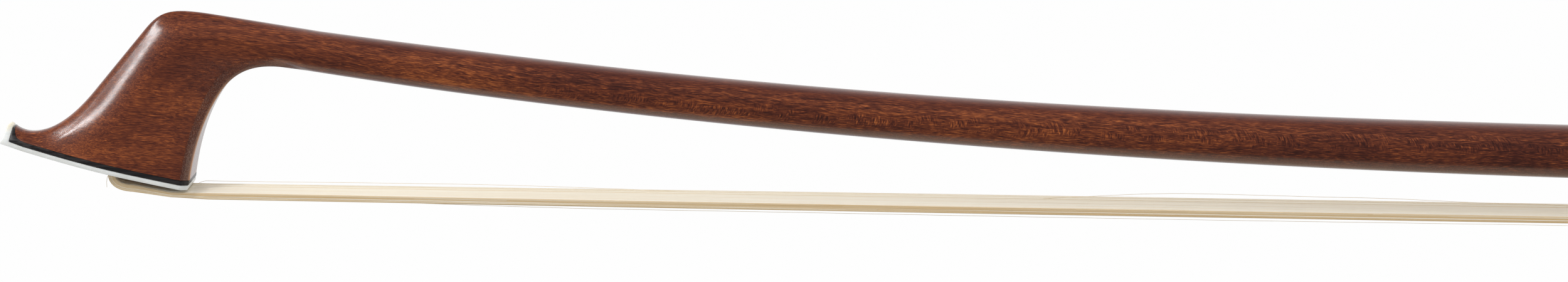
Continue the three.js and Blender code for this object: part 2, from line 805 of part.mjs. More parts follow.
// The hank's places: a point of its middle line with the way it runs, its width and thickness
const hairPlaces = [{ point: hairStart, width: mortiseHairWidth, thickness: hairMouthThickness }];
for (const { curve, steps, width, thickness } of hairStops) {
  const before = hairPlaces[hairPlaces.length - 1];
  for (let step = 1; step <= steps; step += 1) {
    hairPlaces.push({
      point: curve.getPoint(step / steps),
      width: THREE.MathUtils.lerp(before.width, width, step / steps),
      thickness: THREE.MathUtils.lerp(before.thickness, thickness, step / steps),
    });
  }
}

// Across the hank, one side ridged by its locks of hair
function hairRing({ point, width, thickness }, i) {
  const before = hairPlaces[Math.max(i - 1, 0)].point;
  const after = hairPlaces[Math.min(i + 1, hairPlaces.length - 1)].point;
  const run = after.clone().sub(before).normalize();
  const up = new THREE.Vector2(-run.y, run.x);
  const faces = [1, -1].map((side) => {
    const points = [];
    for (let edge = 0; edge <= 2 * hairRidges; edge += 1) {
      const y = side * width * (0.5 - edge / hairRidges / 2);
      const reach = side * (thickness / 2 - (edge % 2 ? 0 : hairRidgeDepth));
      const { x, y: z } = point.clone().addScaledVector(up, reach);
      points.push(new THREE.Vector3(x, y, z));
    }
    return points;
  });
  return faces.flat();
}

// The ring runs over the top and back underneath, so each point faces one on the other face
const hairRings = hairPlaces.map(hairRing);
addPiece(bow, 'hair', loft(hairRings), looks.hair);

// Leather and lapping on the handle

const leatherEnd = -leatherStart;
const leatherPlaces = [-leatherStart - leatherLength, leatherEnd];
const leatherInside = [
  handleRing(leatherPlaces[0] - overrun, workingGap),
  ...handlePlaces.slice(0, -1).map((place) => handleRing(place, workingGap)),
  handleRing(leatherEnd + overrun, workingGap),
];
const leatherOutside = [
  handleRing(leatherPlaces[0], workingGap + leatherEdgeThickness),
  handleRing(leatherPlaces[0] + leatherEdgeLength, workingGap + leatherThickness),
  ...handlePlaces.slice(1, -1).map((place) => handleRing(place, workingGap + leatherThickness)),
  handleRing(leatherEnd - leatherEdgeLength, workingGap + leatherThickness),
  handleRing(leatherEnd, workingGap + leatherEdgeThickness),
];
addPiece(bow, 'thumb_leather', cut(loft(leatherOutside), [loft(leatherInside)]), looks.leather);

// One flat strand wound about the stick, clear of the wood also between its points
function strand(start) {
  const chord = Math.cos(Math.PI / lappingStepsPerTurn);
  const inner = (stickHandleDiameter / 2 + workingGap) / chord;
  const outer = inner + lappingThickness;
  const rings = [];
  for (let step = 0; step <= lappingTurns * lappingStepsPerTurn; step += 1) {
    const turn = step / lappingStepsPerTurn;
    const angle = 2 * Math.PI * turn;
    const near = butt.x + (start + turn * lappingPitch) * Math.cos(handleTilt);
    const far = near + strandWidth * Math.cos(handleTilt);
    const corners = [[near, inner], [far, inner], [far, outer], [near, outer]];
    rings.push(corners.map(([x, radius]) => besideAxis(x, angle, radius)));
  }
  return rings;
}

// Least distance between turns of one strand, measured on the points of its sections
function leastOwnGap(rings) {
  let least = Infinity;
  for (let i = 0; i + lappingStepsPerTurn < rings.length; i += 1) {
    for (const a of rings[i]) {
      for (const b of rings[i + lappingStepsPerTurn]) {
        least = Math.min(least, a.distanceTo(b));
      }
    }
  }
  return least;
}

const lappingRoot = -lappingStart - lappingLength;
for (const [name, start, look] of [
  ['lapping_pale', lappingRoot, looks.pale],
  ['lapping_dark', lappingRoot + lappingPitch / 2, looks.dark],
]) {
  const rings = strand(start);
  console.log(`${name}: least gap to itself ${leastOwnGap(rings).toFixed(2)} mm`);
  addPiece(bow, name, loft(rings), look);
}

// Frog: everything below is placed from the ferrule's front edge and the frog's base

const railHeight = frogDepth - railDrop;
const bodyFront = ferruleLength + workingGap + glueLine;
const throatCentre = [thumbTipSetback + (bodyFront - thumbTipSetback) / 2, railHeight - thumbTipDepth - throatRadius];
const throatEnd = throatCentre[1] + throatRadius * Math.sin(throatRearAngle);

const frogSide = new THREE.Shape();
frogSide.moveTo(bodyFront, 0);
frogSide.lineTo(frogLength, 0);
frogSide.lineTo(frogLength, heelPlateRise);
frogSide.lineTo(frogLength - frogHeelLean, railHeight);
frogSide.lineTo(thumbTipSetback, railHeight);
frogSide.lineTo(thumbTipSetback, railHeight - thumbTipDepth);
frogSide.absarc(...throatCentre, throatRadius, Math.PI / 2, throatRearAngle, true);
frogSide.lineTo(bodyFront, throatEnd);

// Half width of the frog's leaning cheeks at a height
function frogHalfWidth(height) {
  const share = THREE.MathUtils.clamp((height - frogCheekFoot) / (frogWaist - frogCheekFoot), 0, 1);
  return THREE.MathUtils.lerp(frogBaseWidth, frogTopWidth, share) / 2;
}

function frogSection() {
  const right = [
    [frogBaseWidth / 2 - frogBaseBevel, 0],
    [frogBaseWidth / 2, frogBaseBevel],
    [frogBaseWidth / 2, frogCheekFoot],
    [frogTopWidth / 2, frogWaist],
    [frogTopWidth / 2, railHeight],
  ];
  return shapeOf([...right, ...right.map(([y, height]) => [-y, height]).reverse()]);
}

function octagon(margin) {
  const points = [];
  const facets = 8;
  for (let corner = 0; corner < facets; corner += 1) {
    const angle = Math.PI * (2 * corner + 1) / facets;
    const radius = (handleAcrossFlats / 2 + margin) / Math.cos(Math.PI / facets);
    points.push([radius * Math.cos(angle), frogDepth + radius * Math.sin(angle)]);
  }
  return shapeOf(points);
}

// The ferrule's D-shaped outline, drawn in from its outside
function ferruleOutline(inset, floor) {
  const half = ferruleWidth / 2 - inset;
  const outline = new THREE.Shape();
  outline.moveTo(-half, floor);
  outline.lineTo(half, floor);
  outline.absellipse(0, ferruleShoulder, half, ferruleHeight - inset - ferruleShoulder, 0, Math.PI, false);
  return outline;
}

const spreadTop = spreadWedgeTop + workingGap;
const tongueOutline = ferruleOutline(ferruleWall + workingGap, ferruleWall + workingGap);
const tongue = cut(barAlongX(tongueOutline, tongueSetback, bodyFront + overrun), [
  block([0, -ferruleWidth, 0], [frogLength, ferruleWidth, spreadTop]),
]);

const liningOutside = workingGap + undersideThickness;
const channelMargin = liningOutside + workingGap;
const slideGroove = shapeOf([
  [-pearlSlideWidth / 2 - workingGap, -overrun],
  [pearlSlideWidth / 2 + workingGap, -overrun],
  [pearlSlideWidth / 2 + workingGap, 0],
  [pearlSlideWidth / 2 + 2 * slideUndercut + workingGap, slideTop + workingGap],
  [-pearlSlideWidth / 2 - 2 * slideUndercut - workingGap, slideTop + workingGap],
  [-pearlSlideWidth / 2 - workingGap, 0],
]);
const heelPlateFront = frogLength - heelPlateBaseLength;

function heelOutline(thickness, front, rise, reach) {
  return shapeOf([
    [front, -reach], [frogLength + reach, -reach], [frogLength + reach, rise],
    [frogLength - thickness, rise], [frogLength - thickness, thickness], [front, thickness],
  ]);
}

const hairChannelTop = hairInFrog + hairThickness / 2 + workingGap;
const shankHole = new THREE.CylinderGeometry(
  eyeletShankDiameter / 2 + workingGap,
  eyeletShankDiameter / 2 + workingGap,
  frogDepth,
  roundFacets,
).rotateX(Math.PI / 2);
const shankFoot = frogDepth - eyeletWidth / 2 - eyeletShankLength;

// Eyes stand square to the leaning cheeks
function eyeFrame(side) {
  const cheekLean = Math.atan((frogBaseWidth - frogTopWidth) / 2 / (frogWaist - frogCheekFoot));
  const normal = new THREE.Vector3(0, side * Math.cos(cheekLean), Math.sin(cheekLean));
  const turn = new THREE.Quaternion().setFromUnitVectors(new THREE.Vector3(0, 1, 0), normal);
  const centre = new THREE.Vector3(eyePlace, side * frogHalfWidth(eyeHeight), eyeHeight);
  return new THREE.Matrix4().compose(centre, turn, new THREE.Vector3(1, 1, 1));
}

function eyeDisc(radius, foot, top) {
  const height = top - foot;
  return new THREE.CylinderGeometry(radius, radius, height, eyeFacets).translate(0, (top + foot) / 2, 0);
}

const frogBlank = join(
  common(barAcrossY(frogSide, ferruleWidth), barAlongX(frogSection(), 0, frogLength)),
  [tongue],
);
const frogBody = cut(frogBlank, [
  barAlongX(octagon(channelMargin), 0, frogLength + overrun),
  barAlongX(slideGroove, ferruleLength, heelPlateFront + glueLine),
  block(
    [tongueSetback, -frogMortiseWidth / 2, slideTop],
    [frogMortiseRear, frogMortiseWidth / 2, hairChannelTop],
  ),
  block(
    [frogMortiseFront, -frogMortiseWidth / 2, slideTop],
    [frogMortiseRear, frogMortiseWidth / 2, frogMortiseDepth],
  ),
  barAcrossY(
    heelOutline(heelPlateThickness + glueLine, heelPlateFront - glueLine, heelPlateRise + glueLine, overrun),
    ferruleWidth,
  ),
  shankHole.translate(eyeletPlace, 0, shankFoot - workingGap + frogDepth / 2),
  ...[1, -1].map((side) => eyeDisc(eyeRingDiameter / 2 + glueLine, -eyeDepth - glueLine, overrun)
    .applyMatrix4(eyeFrame(side))),
]);
addPiece(frog, 'frog_body', frogBody, looks.ebony);

const ferrule = cut(barAlongX(ferruleOutline(0, 0), 0, ferruleLength), [
  barAlongX(ferruleOutline(ferruleWall, ferruleWall), -overrun, ferruleLength + overrun),
]);
addPiece(frog, 'ferrule', ferrule, looks.silver);

const wedgeMouth = hairLevel + hairThickness / 2 + 2 * workingGap;
const wedgeRoot = hairOverTongue + hairThickness / 2 + workingGap;
const wedgeRear = spreadWedgeSetback + spreadWedgeLength;
const spreadWedge = barAcrossY(shapeOf([
  [spreadWedgeSetback, wedgeMouth],
  [slideTongueSetback, wedgeRoot],
  [wedgeRear, wedgeRoot + (hairInFrog - hairOverTongue)],
  [wedgeRear, spreadWedgeTop],
  [spreadWedgeSetback, spreadWedgeTop],
]), hairWidthAtFrog);
addPiece(frog, 'spread_wedge', spreadWedge, looks.plug);

const frogKnot = knot(frogMortiseLength - 2 * workingGap, frogKnotDiameter)
  .translate(frogMortiseFront + frogMortiseLength / 2, 0, frogKnotHeight);
addPiece(frog, 'frog_knot', frogKnot, looks.thread);

const frogWedgeFront = frogMortiseFront + workingGap;
const frogWedgeRear = frogTurn - hairMouthThickness / 2 - workingGap;
const frogWedge = barAcrossY(shapeOf([
  [frogWedgeFront, hairChannelTop],
  [frogWedgeRear - hairBendDrop / 2, hairChannelTop],
  [frogWedgeRear, hairChannelTop + hairBendDrop / 2],
  [frogWedgeRear, frogWedgeTop],
  [frogWedgeFront, frogWedgeTop],
]), frogMortiseWidth - 2 * workingGap);
addPiece(frog, 'frog_wedge', frogWedge, looks.plug);

// Dovetailed slide: mother of pearl below, its wooden backing above with a tongue under the ferrule
const slideFront = ferruleLength + workingGap;
const slideRear = heelPlateFront - workingGap;

function slideLayer(foot, top) {
  const half = (height) => pearlSlideWidth / 2 + 2 * slideUndercut * height / slideTop;
  return barAlongX(shapeOf([
    [-half(foot), foot], [half(foot), foot], [half(top), top], [-half(top), top],
  ]), slideFront, slideRear);
}

addPiece(frog, 'pearl_slide', slideLayer(0, pearlSlideThickness), looks.pearl);
const backingFoot = pearlSlideThickness + glueLine;
const tongueFoot = ferruleWall + workingGap;
const slideTongue = block(
  [slideTongueSetback, -pearlSlideWidth / 2, backingFoot],
  [slideFront + overrun, pearlSlideWidth / 2, tongueFoot + slideTongueThickness],
);
addPiece(frog, 'slide_backing', join(slideLayer(backingFoot, slideTop), [slideTongue]), looks.ebony);

const heelPlate = common(
  barAcrossY(heelOutline(heelPlateThickness, heelPlateFront, heelPlateRise, 0), ferruleWidth),
  barAlongX(frogSection(), 0, frogLength),
);
addPiece(frog, 'heel_plate', heelPlate, looks.silver);

for (const [side, sideName] of [[1, 'far'], [-1, 'near']]) {
  const ring = cut(eyeDisc(eyeRingDiameter / 2, -eyeDepth, glueLine), [
    eyeDisc(eyeRingDiameter / 2 - eyeRingWidth, -eyeDepth - overrun, overrun),
  ]);
  addPiece(frog, `eye_ring_${sideName}`, ring.applyMatrix4(eyeFrame(side)), looks.silver);
  const pearlRadius = eyeRingDiameter / 2 - eyeRingWidth - workingGap;
  const pearl = eyeDisc(pearlRadius, -eyeDepth, 0);
  addPiece(frog, `eye_pearl_${sideName}`, pearl.applyMatrix4(eyeFrame(side)), looks.pearl);
}

// Metal lining of the channel, three facets wide
const liningFront = thumbTipSetback + undersideSetback;
const liningRear = frogLength - frogHeelLean - undersideSetback;
const lining = cut(barAlongX(octagon(liningOutside), liningFront, liningRear), [
  barAlongX(octagon(workingGap), 0, frogLength),
  block([0, -ferruleWidth, railHeight - workingGap], [frogLength, ferruleWidth, 2 * frogDepth]),
  shankHole,
]);
addPiece(frog, 'underslide', lining, looks.silver);

// Eyelet: a threaded shank in the frog and a bored head that the screw passes through
const eyeletHead = new THREE.Shape();
const eyeletShoulder = frogDepth + eyeletTop - eyeletWidth / 2;
const eyeletFoot = frogDepth - handleAcrossFlats / 2 + workingGap / 2;
eyeletHead.moveTo(-eyeletWidth / 2, eyeletFoot);
eyeletHead.lineTo(eyeletWidth / 2, eyeletFoot);
eyeletHead.absarc(0, eyeletShoulder, eyeletWidth / 2, 0, Math.PI, false);
const eyeletShank = new THREE.CylinderGeometry(
  eyeletShankDiameter / 2,
  eyeletShankDiameter / 2,
  eyeletFoot + overrun - shankFoot,
  roundFacets,
).rotateX(Math.PI / 2).translate(eyeletPlace, 0, (eyeletFoot + overrun + shankFoot) / 2);
const screwPass = rod(0, frogLength, screwDiameter / 2 + workingGap).translate(0, 0, frogDepth);
const eyelet = cut(
  join(barAlongX(eyeletHead, eyeletPlace - eyeletLength / 2, eyeletPlace + eyeletLength / 2), [eyeletShank]),
  [screwPass],
);
addPiece(frog, 'eyelet', eyelet, looks.brass);

// Screw and button, placed from the stick's butt

const coreFront = workingGap + buttonRingLength;
const capRear = buttonLength;
const coreRear = capRear - buttonCapLength;
const spigotRadius = buttonSpigotDiameter / 2;
const tangRadius = buttonTangDiameter / 2;

const screw = turned([
  [-screwTipEnd, 0],
  [-screwTipEnd, screwTipDiameter / 2],
  [-screwThreadEnd, screwTipDiameter / 2],
  [-screwThreadEnd, screwDiameter / 2],
  [nippleLength, screwDiameter / 2],
  [nippleLength, tangRadius],
  [nippleLength + buttonTangLength, tangRadius],
  [nippleLength + buttonTangLength, 0],
], roundFacets);
addPiece(screwSet, 'screw', screw, looks.steel);

const coreFacets = 8;
const coreRadius = buttonCoreWidth / 2 / Math.cos(Math.PI / coreFacets);
const core = turned([
  [coreFront, 0],
  [coreFront, coreRadius - buttonBevel],
  [coreFront + buttonBevel, coreRadius],
  [coreRear - workingGap - buttonBevel, coreRadius],
  [coreRear - workingGap, coreRadius - buttonBevel],
  [coreRear - workingGap, 0],
], coreFacets, Math.PI / coreFacets);
const buttonCore = cut(
  join(core, [rod(coreFront - buttonSpigotLength, coreRear + buttonSpigotLength - workingGap, spigotRadius)]),
  [rod(0, nippleLength + buttonTangLength + workingGap, tangRadius + workingGap)],
);
addPiece(screwSet, 'button_core', buttonCore, looks.ebony);

function metalRing(front, rear, outerRadius) {
  return turned([
    [front, 0],
    [front, outerRadius - buttonBevel],
    [front + buttonBevel, outerRadius],
    [rear - buttonBevel, outerRadius],
    [rear, outerRadius - buttonBevel],
    [rear, 0],
  ], eyeFacets);
}

const frontRing = cut(metalRing(workingGap, coreFront - workingGap, buttonDiameter / 2), [
  rod(-overrun, coreFront + overrun, spigotRadius + workingGap),
]);
addPiece(screwSet, 'button_front_ring', frontRing, looks.silver);

const pearlSeat = capRear - buttonPearlThickness - glueLine;
const rearCap = cut(metalRing(coreRear, capRear, buttonCapDiameter / 2), [
  rod(0, coreRear + buttonSpigotLength, spigotRadius + workingGap),
  rod(pearlSeat - glueLine, capRear + overrun, buttonPearlDiameter / 2 + glueLine),
]);
addPiece(screwSet, 'button_rear_cap', rearCap, looks.silver);
const buttonPearl = rod(pearlSeat, pearlSeat + buttonPearlThickness, buttonPearlDiameter / 2);
addPiece(screwSet, 'button_pearl', buttonPearl, looks.pearl);

export default bow;
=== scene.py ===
# Cello bow: the looks of its wood, plate, hair, handle, frog and button, over the measured solids.
# Sizes are in millimetres until a mesh is made, then in metres.
import math

import bmesh
import bpy
import numpy as np
from mathutils import Matrix, Vector


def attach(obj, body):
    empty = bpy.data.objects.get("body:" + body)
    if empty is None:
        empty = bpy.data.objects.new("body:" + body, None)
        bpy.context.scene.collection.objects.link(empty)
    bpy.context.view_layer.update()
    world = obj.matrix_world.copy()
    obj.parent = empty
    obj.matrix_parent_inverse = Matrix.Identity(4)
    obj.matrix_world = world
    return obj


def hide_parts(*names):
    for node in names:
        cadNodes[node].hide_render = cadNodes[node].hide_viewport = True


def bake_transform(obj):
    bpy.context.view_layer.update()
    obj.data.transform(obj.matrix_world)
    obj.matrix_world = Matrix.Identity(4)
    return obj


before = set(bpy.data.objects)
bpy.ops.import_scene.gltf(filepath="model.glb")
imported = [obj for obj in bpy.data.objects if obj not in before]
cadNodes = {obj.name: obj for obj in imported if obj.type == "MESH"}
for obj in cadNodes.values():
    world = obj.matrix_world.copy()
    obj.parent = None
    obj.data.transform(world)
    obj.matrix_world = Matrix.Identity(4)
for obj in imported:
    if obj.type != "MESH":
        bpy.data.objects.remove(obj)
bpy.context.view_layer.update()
scene = bpy.context.scene
scene.view_settings.view_transform = "Standard"
mm = 0.001
print("frame loaded:", len(cadNodes), "nodes")


# Camera, floor and light

camera = {
    "target": (-238.2, 0.0, 10.4),
    "distance": 600.0,
    "pitch": 10.0,  # degrees, looking down
    "roll": 0.96,
    "focalPixels": 6300.0,
    "frameWidth": 2500.0,
    "sensorWidth": 36.0,
    "clip": (0.01, 50.0),  # metres
}
studio = {
    "floorHeight": -150.0,
    "floorSize": 8000.0,
    "floorColors": [(0.3, (176, 176, 174)), (0.7, (186, 186, 184))],
    "floorSpeckle": 60.0,
    "floorGlow": 0.98,  # share of its white that the eye sees without any light
    "paintedShadeReach": 0.2,  # metres over which painted shade darkens the floor's glow beside the bow
    "sky": (-0.1, 0.9, 0.4, 1.32),  # heights, then soft light from the horizon and from above
    "roomShine": 0.1,  # what gloss mirrors in front of the bow; behind it is white
    "roomEdge": (0.1, 0.8),
    "floorEdge": (-0.08, 0.3),
    "keyPlace": (-1230.0, -363.0, 642.0),  # lights the bevel of the head
    "keyAim": (-330.0, 0.0, 20.0),
    "keySize": (90.0, 320.0),
    "keyGlow": 46.0,  # brightness of the lamp's own face
}


def screenColor(red, green, blue):
    shares = np.array([red, green, blue]) / 255
    values = np.where(shares > 0.04045, ((shares + 0.055) / 1.055) ** 2.4, shares / 12.92)
    return (*(float(value) for value in values), 1.0)


def addPiece(name, data):
    piece = bpy.data.objects.new(name, data)
    scene.collection.objects.link(piece)
    return piece


def placeCamera():
    pitch, roll = math.radians(camera["pitch"]), math.radians(camera["roll"])
    forward = Vector((0, math.cos(pitch), -math.sin(pitch)))
    level = Vector((0, math.sin(pitch), math.cos(pitch)))
    right = Vector((1, 0, 0)) * math.cos(roll) + level * math.sin(roll)
    up = level * math.cos(roll) - Vector((1, 0, 0)) * math.sin(roll)
    place = (Vector(camera["target"]) - forward * camera["distance"]) * mm
    lens = bpy.data.cameras.new("camera")
    lens.sensor_width = camera["sensorWidth"]
    lens.lens = camera["sensorWidth"] * camera["focalPixels"] / camera["frameWidth"]
    lens.clip_start, lens.clip_end = camera["clip"]
    scene.camera = addPiece("camera", lens)
    turn = Matrix((right, up, -forward)).transposed().to_4x4()
    scene.camera.matrix_world = Matrix.Translation(place) @ turn


def placeKey():
    lamp = bpy.data.lights.new("key", "AREA")
    lamp.shape = "RECTANGLE"
    lamp.size, lamp.size_y = (side * mm for side in studio["keySize"])
    lamp.energy = studio["keyGlow"] * math.pi * lamp.size * lamp.size_y
    holder = addPiece("key", lamp)
    place = Vector(studio["keyPlace"])
    holder.location = place * mm
    holder.rotation_mode = "QUATERNION"
    holder.rotation_quaternion = (place - Vector(studio["keyAim"])).to_track_quat("Z", "Y")
    return holder


# Node helpers: a value is a number or the output of another node

def addNode(tree, kind, values=None, **settings):
    made = tree.nodes.new(kind)
    for name, value in settings.items():
        setattr(made, name, value)
    for key, value in (values or {}).items():
        socket = made.inputs[key]
        if isinstance(value, bpy.types.NodeSocket):
            tree.links.new(value, socket)
        else:
            socket.default_value = value
    return made


def treeOf(values):
    return next(value.id_data for value in values if isinstance(value, bpy.types.NodeSocket))


def maths(operation, *values):
    values, tree = dict(enumerate(values)), treeOf(values)
    return addNode(tree, "ShaderNodeMath", values, operation=operation).outputs[0]


def vectorMaths(operation, *values):
    values, tree = dict(enumerate(values)), treeOf(values)
    return addNode(tree, "ShaderNodeVectorMath", values, operation=operation).outputs[0]


def plus(first, second):
    return maths("ADD", first, second)


def minus(first, second):
    return maths("SUBTRACT", first, second)


def times(first, second):
    return maths("MULTIPLY", first, second)


def weighted(*pairs):
    # The sum of (value, share) pairs
    total = times(*pairs[0])
    for pair in pairs[1:]:
        total = plus(total, times(*pair))
    return total


def stretched(place, scale):
    return vectorMaths("MULTIPLY", place, scale)


def split(vector):
    return addNode(vector.id_data, "ShaderNodeSeparateXYZ", {0: vector}).outputs


def combined(parts):
    return addNode(treeOf(parts.values()), "ShaderNodeCombineXYZ", parts).outputs[0]


def noise(place, stretch=None, detail=2.0, roughness=0.55, distortion=0.0, scale=1.0):
    values = {"Vector": stretched(place, stretch) if stretch else place, "Scale": scale,
              "Detail": detail, "Roughness": roughness, "Distortion": distortion}
    return addNode(place.id_data, "ShaderNodeTexNoise", values).outputs["Fac"]


def ranged(value, low, high, toLow=0.0, toHigh=1.0):
    values = {"Value": value, "From Min": low, "From Max": high, "To Min": toLow, "To Max": toHigh}
    return addNode(value.id_data, "ShaderNodeMapRange", values).outputs[0]


def mixedValue(share, first, second):
    return addNode(share.id_data, "ShaderNodeMix", {0: share, 2: first, 3: second},
                   data_type="FLOAT").outputs[0]


def mixed(share, first, second):
    return addNode(share.id_data, "ShaderNodeMix", {0: share, 6: first, 7: second},
                   data_type="RGBA").outputs[2]


def ramp(value, stops):
    made = addNode(value.id_data, "ShaderNodeValToRGB", {0: value})
    bands, stops = made.color_ramp.elements, list(stops)
    while len(bands) < len(stops):
        bands.new(0.5)
    for band, (place, color) in zip(bands, stops):
        band.position, band.color = place, screenColor(*color)
    return made.outputs[0]


def relief(height, depth, strength):
    values = {"Height": height, "Distance": depth, "Strength": strength}
    return addNode(height.id_data, "ShaderNodeBump", values).outputs[0]


mid = (0.3, 0.7)  # where nearly all of a noise's values lie


def objectPlace(tree):
    return addNode(tree, "ShaderNodeTexCoord").outputs["Object"]


def named(tree, name, output="Fac"):
    return addNode(tree, "ShaderNodeAttribute", attribute_name=name).outputs[output]


def startMaterial(name, **values):
    material = bpy.data.materials.new(name)
    material.use_nodes = True
    tree = material.node_tree
    tree.nodes.clear()
    shader = addNode(tree, "ShaderNodeBsdfPrincipled")
    addNode(tree, "ShaderNodeOutputMaterial", {0: shader.outputs[0]})
    for key, value in values.items():
        shader.inputs[key.replace("_", " ")].default_value = value
    return material, tree, shader


def dress(shader, color=None, roughness=None, normal=None):
    for key, socket in (("Base Color", color), ("Roughness", roughness), ("Normal", normal)):
        if socket is not None:
            shader.id_data.links.new(socket, shader.inputs[key])


# Light and floor

def paleWorld():
    world = bpy.data.worlds.new("studio")
    world.use_nodes = True
    tree = world.node_tree
    tree.nodes.clear()
    path = addNode(tree, "ShaderNodeLightPath").outputs
    way = split(addNode(tree, "ShaderNodeTexCoord").outputs["Generated"])
    soft = ranged(way[2], *studio["sky"])
    shine = ranged(way[1], *studio["roomEdge"], studio["roomShine"], 1.0)
    strength = mixedValue(path["Is Glossy Ray"], soft, shine)
    seen = maths("MAXIMUM", path["Is Camera Ray"], path["Is Transmission Ray"])
    strength = mixedValue(seen, strength, 1.0)
    sky = addNode(tree, "ShaderNodeBackground", {"Color": (1, 1, 1, 1), "Strength": strength})
    addNode(tree, "ShaderNodeOutputWorld", {0: sky.outputs[0]})
    scene.world = world


def paleFloor():
    material, tree, shader = startMaterial("floor", Roughness=0.9)
    place = objectPlace(tree)
    speckle = noise(place, detail=4.0, scale=studio["floorSpeckle"])
    dress(shader, ramp(speckle, studio["floorColors"]))
    path = addNode(tree, "ShaderNodeLightPath").outputs
    # Painted shade: ambient occlusion darkens the floor's own glow near the bow, standing in for its
    # shadow
    paintedShade = addNode(tree, "ShaderNodeAmbientOcclusion", {"Distance": studio["paintedShadeReach"]}).outputs[0]
    # Gloss mirrors it white behind the bow, and as dim as the room in front
    mirrored = ranged(split(place)[1], *studio["floorEdge"], studio["roomShine"], 1.0)
    strength = mixedValue(path["Is Glossy Ray"], 1.0, mirrored)
    glow = addNode(tree, "ShaderNodeEmission", {"Color": paintedShade, "Strength": strength})
    seen = maths("MAXIMUM", path["Is Camera Ray"], path["Is Glossy Ray"])
    seen = maths("MAXIMUM", seen, path["Is Transmission Ray"])
    # The floor keeps a share of the light that falls on it, so that its shadow stays
    both = addNode(tree, "ShaderNodeMixShader", {
        0: times(seen, studio["floorGlow"]), 1: shader.outputs[0], 2: glow.outputs[0]})
    output = next(node for node in tree.nodes if node.type == "OUTPUT_MATERIAL")
    tree.links.new(both.outputs[0], output.inputs[0])
    half, height = studio["floorSize"] / 2 * mm, studio["floorHeight"] * mm
    mesh = bpy.data.meshes.new("floor")
    corners = [(x * half, y * half, height) for x, y in ((-1, -1), (1, -1), (1, 1), (-1, 1))]
    mesh.from_pydata(corners, [], [(0, 1, 2, 3)])
    mesh.materials.append(material)
    floor = addPiece("floor", mesh)


placeCamera()
paleWorld()
paleFloor()
keyLamp = placeKey()
print("camera, floor and light placed")


# Finishes

wood = {  # stretch: waves per millimetre along, across and up from the grain's line
    "drift": {"stretch": (0.16, 0.7, 0.7)}, "driftReach": (0.0, 0.7, 0.7),
    "streak": {"stretch": (0.8, 15.0, 16.0), "roughness": 0.5, "distortion": 0.4},
    "vein": {"stretch": (0.6, 6.0, 6.5), "roughness": 0.5, "distortion": 0.3},
    "fibre": {"stretch": (1.8, 30.0, 30.0), "roughness": 0.6},
    "band": {"stretch": (0.05, 1.3, 1.5), "detail": 3.0},
    "cloud": {"stretch": (0.06, 0.2, 0.2)},
    "rings": {"stretch": (4.2, 1.2, 1.0), "roughness": 0.6, "distortion": 0.5}, "ringArc": 0.22,
    "patch": {"stretch": (0.3, 0.5, 0.8)}, "patchEdge": (0.47, 0.6),
    "pore": {"stretch": (5.5, 6.5, 6.5), "roughness": 0.6},
    "streakShare": 0.6, "fibreShare": 0.15, "cloudShare": 0.18, "calmValue": 0.45,
    "colors": [(0.37, (62, 25, 19)), (0.455, (87, 38, 25)), (0.52, (114, 54, 30)),
               (0.58, (150, 78, 38)), (0.67, (190, 108, 52))],
    "endCut": (0.35, 0.95, 0.0, 0.45), "flatCut": (0.1, 0.45, 0.0, 0.75), "cutShare": 0.55,
    # Speckled greys of end grain, which also paint the reflection on the chamfer and the underside
    "endGrainAndSheenColors": [(0.38, (64, 42, 38)), (0.52, (98, 72, 64)), (0.68, (150, 126, 116))],
    # The paler rim colour is painted backlight on the head's rear corner
    "backlightPower": 3.0, "backlightShare": 0.7, "backlightColor": (206, 146, 100),
    "gloss": (0.34, 0.46), "cutGloss": 0.08, "poreShare": 0.6,
    "relief": (0.00002, 0.8), "coatRelief": (0.00002, 0.35),
}


